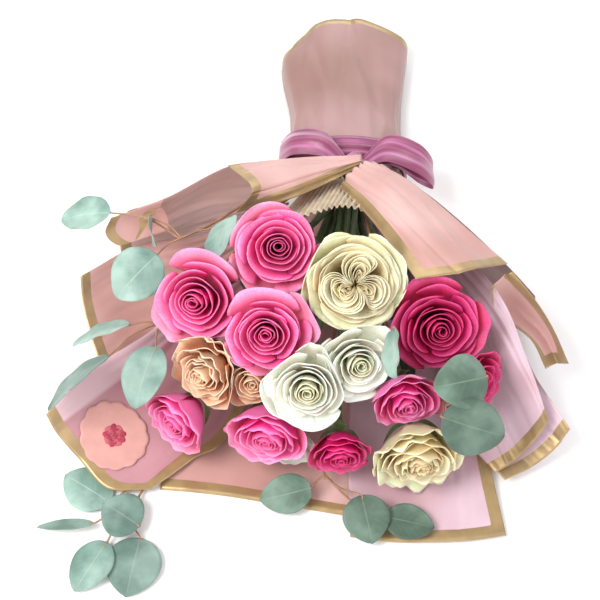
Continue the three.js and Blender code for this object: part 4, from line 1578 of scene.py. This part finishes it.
# ---------------------------------------------------------------------------------------------
# Ribbon, tag and twine
# ---------------------------------------------------------------------------------------------
@dataclass
class Strip:
    """One stretch of the satin ribbon.

    Attributes:
        node: the CAD node it stands for.
        rows: points that shape it; rows follow the ribbon, and each runs across it.
        folds: number of folds across the ribbon.
        depth: height of the folds.
        pinch: how much deeper they get at the start and at the end.
        closed: whether it goes all the way round and meets itself.
        along: grid rows.
        across: grid columns.
        wall: the ribbon's thickness.
    """

    node: str
    rows: Rows
    folds: float = 1.3
    depth: float = 1.5
    pinch: tuple[float, float] = (0.0, 0.0)
    closed: bool = False
    along: int = 160
    across: int = 36
    wall: float = 0.35

    def build(self, satin: bpy.types.Material) -> None:
        """Makes the strip; folds run along it, deepest where it is pinched by the knot.

        Args:
            satin: the ribbon's material.
        """
        points = net_surface(self.rows, self.along, self.across)
        u, v = np.meshgrid(np.linspace(0, 1, self.across), np.linspace(0, 1, self.along))
        rng = own_rng(self.node)
        tight = self.pinch[0] * np.exp(-v / 0.16) + self.pinch[1] * np.exp(-(1 - v) / 0.16)
        fold = np.cos(2 * np.pi * self.folds * u + 1.2 * np.sin(3 * v) + rng.uniform(0, 6))
        fade = np.sin(np.pi * np.clip(v, 0.0, 1.0)) ** (0.0 if self.closed else 0.3)
        height = self.depth * (0.25 + tight) * fold * fade
        height = height + 1.2 * waves(u, v, rng, 5, 2.0) * (0.0 if self.closed else 1.0)
        points = points + normals_of(points) * height[..., None]
        points[..., 2] = np.maximum(points[..., 2], 0.4)
        name = "satin_" + self.node
        piece = Piece(name, [Patch(points)], (self.node,), "ribbon", [satin], self.wall).make()


@dataclass
class Bow:
    """The satin bow: a band round the waist, two loops and the knot.

    Attributes:
        band: the band's outline round the waist, as x and z.
        band_edges: where along the handle the band starts and ends.
        knot_at: the knot's middle.
        knot_half: half the knot's size each way.
    """

    band: tuple[tuple[float, float], ...] = (
        (-14, 1.4), (-19, 9), (-17, 30), (-7, 44), (14, 52.5), (40, 55.5), (66, 52.5),
        (87, 44), (97, 30), (99, 9), (94, 1.4), (67, 0.8), (40, 0.8), (13, 0.8), (-14, 1.4),
    )
    band_edges: tuple[float, float] = (110.0, 136.0)
    knot_at: tuple[float, float, float] = (47.0, 95.0, 67.0)
    knot_half: tuple[float, float, float] = (9.0, 9.0, 7.5)

    def knot(self, satin: bpy.types.Material) -> None:
        """Makes the knot: an oval whose radius swings with folds that wrap round it.

        Args:
            satin: the ribbon's material.
        """
        theta = np.linspace(0, np.pi, 40)[:, None]
        phi = np.linspace(0, 2 * np.pi, 72, endpoint=False)[None, :]
        folds = 1 + 0.06 * np.cos(4 * theta + 2 * np.sin(phi))
        folds = folds + 0.05 * np.cos(5 * phi + 3 * theta) * np.sin(theta)
        round_x = np.sin(theta)
        direction = np.stack([np.cos(theta) + 0 * phi, round_x * np.cos(phi), round_x * np.sin(phi)], -1)
        points = np.array(self.knot_at) + direction * folds[..., None] * np.array(self.knot_half)
        Piece("satin_knot", [Patch(points, True)], ("ribbon_knot",), "ribbon", [satin], outward=True).make()

    def build(self) -> None:
        """Makes the whole bow."""
        # The light colour is the painted highlight in the ribbon's streaks.
        satin = SatinFinish(
            "satin", 0.3, (("Specular IOR Level", 0.6), ("Sheen Weight", 0.3), ("Anisotropic", 0.5)),
            body=colour(140, 62, 98), light=colour(198, 122, 168),
        ).make()
        low, high = self.band_edges
        round_waist = [[(x, low, z), (x, high, z)] for x, z in self.band]
        Strip("ribbon_band", round_waist, folds=3.0, depth=6.0, closed=True).build(satin)
        Strip("ribbon_loop_left", [
            [(42, 84, 62), (42, 98, 63)],
            [(18, 92, 76), (20, 124, 74)],
            [(-12, 98, 72), (-8, 134, 66)],
            [(-24, 96, 54), (-22, 132, 50)],
            [(-8, 94, 57.5), (-8, 124, 57.5)],
            [(20, 90, 60), (20, 112, 60)],
            [(38, 87, 60.5), (38, 98, 60.5)],
        ], pinch=(1.2, 1.0)).build(satin)
        Strip("ribbon_loop_right", [
            [(52, 84, 66), (52, 96, 68)],
            [(76, 88, 75), (78, 118, 77)],
            [(106, 77, 70), (108, 112, 70)],
            [(121, 75, 50), (122, 104, 52)],
            [(108, 88, 42), (110, 110, 44)],
            [(82, 92, 62), (84, 108, 62)],
            [(56, 87, 62.5), (56, 97, 62.5)],
        ], pinch=(1.2, 1.0)).build(satin)
        self.knot(satin)


@dataclass
class Tag:
    """The scalloped paper tag on the front left film, with a small printed flower.

    Attributes:
        centre: its middle, as x and y.
        radius: its size.
        scallops: number of lobes round its edge.
        lift: its height over the film.
    """

    centre: tuple[float, float] = (-164.0, -167.0)
    radius: float = 28.5
    scallops: int = 13
    lift: float = 1.3

    def film_height(self, film: np.ndarray, x: np.ndarray, y: np.ndarray) -> np.ndarray:
        """Height of the film under the tag, from a cubic in x and y fitted to it there.

        Args:
            film: the film's middle surface.
            x: where to give the height.
            y: the same.

        Returns:
            The height at each place, in millimetres.
        """
        off = np.hypot(film[..., 0] - self.centre[0], film[..., 1] - self.centre[1])
        near = film[off < 1.5 * self.radius]
        terms = np.linalg.lstsq(self.cubic(near[:, 0], near[:, 1]), near[:, 2], rcond=None)[0]
        return self.cubic(x, y) @ terms

    def cubic(self, x: np.ndarray, y: np.ndarray) -> np.ndarray:
        """The ten terms of a cubic in two variables about the tag's centre."""
        a, b = (x - self.centre[0]) / self.radius, (y - self.centre[1]) / self.radius
        return np.stack([a**i * b**j for i in range(4) for j in range(4 - i)], axis=-1)

    def disc(
        self, film: np.ndarray, radius: np.ndarray, angle: np.ndarray, at: tuple[float, float], lift: float
    ) -> np.ndarray:
        """Points at a radius and angle about a place on the tag, laid on the film.

        Args:
            film: the film's middle surface.
            radius: how far out each point is.
            angle: which way it is.
            at: the place, from the tag's middle.
            lift: height over the film.

        Returns:
            The points, in millimetres.
        """
        x = self.centre[0] + at[0] + radius * np.cos(angle)
        y = self.centre[1] + at[1] + radius * np.sin(angle)
        return np.stack([x, y, self.film_height(film, x, y) + lift], axis=-1)

    def build(self, film: np.ndarray) -> None:
        """Makes the tag, its scalloped edge and the printed flower.

        Args:
            film: the middle surface of the film that it lies on.
        """
        angle = np.linspace(0, 2 * np.pi, 20 * self.scallops, endpoint=False)[None, :]
        share = np.linspace(0.0, 1.0, 14)[:, None]
        lobes = 1 + 0.055 * (np.abs(np.cos(0.5 * self.scallops * angle)) - 0.5)
        radius = self.radius * share * (1 + (lobes - 1) * smoothstep(0.5, 1.0, share))
        patches = [Patch(self.disc(film, radius, angle, (0, 0), self.lift), True)]
        turn = np.linspace(0, 2 * np.pi, 24, endpoint=False)[None, :]
        for ring, count, size in ((6.6, 9, 3.2), (3.4, 6, 2.8), (0.0, 1, 2.2)):
            for k in range(count):
                a = 2 * np.pi * k / count + ring
                at = (ring * math.cos(a), ring * math.sin(a) + 1.0)
                blot = size * np.linspace(0, 1, 4)[:, None] * (1 + 0.12 * np.cos(3 * turn + k))
                spot = self.disc(film, blot, turn, at, self.lift + 0.5)
                patches.append(Patch(spot, True, finish=1 + k % 2))
        inks = [
            PlainFinish("tag_paper", 0.6, body=colour(208, 154, 146), dark=0.08, relief=0.08),
            PlainFinish("tag_flower", 0.6, body=colour(178, 52, 78), dark=0.3, relief=0.05),
            PlainFinish("tag_flower_light", 0.6, body=colour(206, 96, 112), dark=0.3, relief=0.05),
        ]
        finishes = [ink.make() for ink in inks]
        Piece("scalloped_tag", patches, ("paper_tag",), "tag_paper", finishes, 0.3).make()


@dataclass
class Binding:
    """The twine that ties the stems: a few turns wound side by side.

    Attributes:
        middle: the middle of the coil.
        half: half the coil's size across.
        turns: number of turns.
        radius: the twine's radius.
    """

    middle: tuple[float, float, float] = (40.0, 105.0, 25.5)
    half: float = 14.7
    turns: int = 4
    radius: float = 0.85

    def build(self) -> None:
        """Makes the twine as one coil: a rounded square path that steps along Y each turn."""
        t = np.linspace(0, 2 * np.pi * self.turns, 90 * self.turns)
        swell = 1 / (np.abs(np.cos(t)) ** 4 + np.abs(np.sin(t)) ** 4) ** 0.25
        step = (t / t[-1] - 0.5) * 2 * self.radius * (self.turns - 1)
        coil = np.stack([self.half * swell * np.cos(t), step, self.half * swell * np.sin(t)], axis=-1)
        path = np.array(self.middle) + coil
        strand = sweep(path, np.full(len(path), self.radius), 8)
        jute = PlainFinish("jute", 0.8, body=colour(182, 154, 108), dark=0.4, scale=260.0, relief=0.3).make()
        Piece("jute_tie", [Patch(strand, True)], ("binding_twine",), "twine", [jute], outward=True).make()


# ---------------------------------------------------------------------------------------------
# Studio
# ---------------------------------------------------------------------------------------------
@dataclass(frozen=True)
class Studio:
    """A pale floor, soft lights and the camera; lengths in metres.

    Attributes:
        aim: what the camera looks at.
        distance: how far from there it is.
        lens: its focal length, in millimetres.
        floor_drop: how far the floor is under the bouquet.
        floor_half: half the floor's side.
    """

    aim: tuple[float, float, float] = (-0.004, -0.055, 0.060)
    distance: float = 1.1
    lens: float = 75.0
    floor_drop: float = 0.0004
    floor_half: float = 3.0

    def floor(self) -> None:
        """Adds the pale floor."""
        half, low = self.floor_half, -self.floor_drop
        mesh = bpy.data.meshes.new("floor")
        square = [(-half, -half, low), (half, -half, low), (half, half, low), (-half, half, low)]
        mesh.from_pydata(square, [], [(0, 1, 2, 3)])
        pale = PlainFinish("floor", 0.9, body=colour(250, 249, 249), dark=0.01, scale=3.0, relief=0.0)
        mesh.materials.append(pale.make())
        ground = bpy.data.objects.new("floor", mesh)
        bpy.context.scene.collection.objects.link(ground)

    def light(
        self, name: str, place: tuple[float, float, float], size: float, watts: float,
        shade: tuple[float, float, float],
    ) -> None:
        """Adds a square soft light that points at the bouquet.

        Args:
            name: the light's name.
            place: where it is.
            size: its side.
            watts: its power.
            shade: its colour.
        """
        lamp = bpy.data.lights.new(name, "AREA")
        lamp.size = size
        lamp.energy = watts
        lamp.color = shade
        holder = bpy.data.objects.new(name, lamp)
        holder.location = place
        away = np.array(place) - np.array(self.aim)
        holder.rotation_euler = self.facing(away)
        bpy.context.scene.collection.objects.link(holder)

    @staticmethod
    def facing(away: np.ndarray) -> tuple[float, float, float]:
        """The turn that points an object's -Z back along a vector, with its +Y upwards.

        Args:
            away: from what it looks at to the object.

        Returns:
            The turn about X, Y and Z.
        """
        flat = math.hypot(away[0], away[1])
        return (math.atan2(flat, away[2]), 0.0, math.atan2(away[0], -away[1]))

    def build(self) -> None:
        """Sets the stage."""
        self.floor()
        self.light("key", (-0.9, -0.5, 1.5), 0.8, 26.0, (1.0, 0.98, 0.96))
        self.light("fill", (1.3, -0.7, 1.1), 1.4, 9.0, (0.96, 0.97, 1.0))
        self.light("front", (-0.2, -1.5, 0.8), 1.4, 6.0, (1.0, 0.99, 0.98))
        self.light("back", (0.2, 1.4, 1.0), 1.2, 10.0, (1.0, 1.0, 1.0))
        world = bpy.data.worlds.new("studio")
        world.use_nodes = True
        sky = world.node_tree.nodes["Background"]
        sky.inputs["Color"].default_value = (1.0, 1.0, 1.0, 1.0)
        sky.inputs["Strength"].default_value = 0.66
        scene = bpy.context.scene
        scene.world = world
        scene.view_settings.view_transform = "Standard"
        lens = bpy.data.cameras.new("camera")
        lens.lens = self.lens
        camera = bpy.data.objects.new("camera", lens)
        away = FACE * self.distance
        camera.location = np.array(self.aim) + away
        camera.rotation_euler = self.facing(away)
        scene.collection.objects.link(camera)
        scene.camera = camera


def main() -> None:
    """Builds the bouquet on its frame and sets the stage."""
    logging.basicConfig(level=logging.INFO, format="%(name)s: %(message)s")
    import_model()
    Studio().build()
    petals = {tint: [finish.make() for finish in tint.value] for tint in Tint}
    for number, plan in enumerate(ROSES, 1):
        Bloom(number, plan).build(petals[plan.tint])
    Stems().build()
    leaf = LeafFinish(
        "eucalyptus_leaf", 0.5, WAXY,
        body=colour(112, 146, 134), wax=colour(158, 188, 176), vein=colour(186, 204, 190),
    ).make()
    # A darker copy of the eucalyptus leaf material for the front and right sprigs: painted shade.
    shaded = LeafFinish(
        "eucalyptus_shaded_leaf", 0.5, WAXY,
        body=colour(84, 110, 94), wax=colour(124, 150, 134), vein=colour(150, 170, 150),
    ).make()
    twig = PlainFinish("eucalyptus_twig", 0.6, body=colour(172, 130, 100), dark=0.35, relief=0.2).make()
    for sprig in SPRIGS:
        sprig.build([shaded if sprig.shaded_leaves else leaf, twig])
    films = {film: film.value.make() for film in Film}
    for sheet in SHEETS:
        sheet.build(films)
    Collar().build()
    Bow().build()
    Binding().build()
    Tag().build(next(s for s in SHEETS if s.node == "front_left_sheet").surface())


if __name__ == "__main__":
    main()
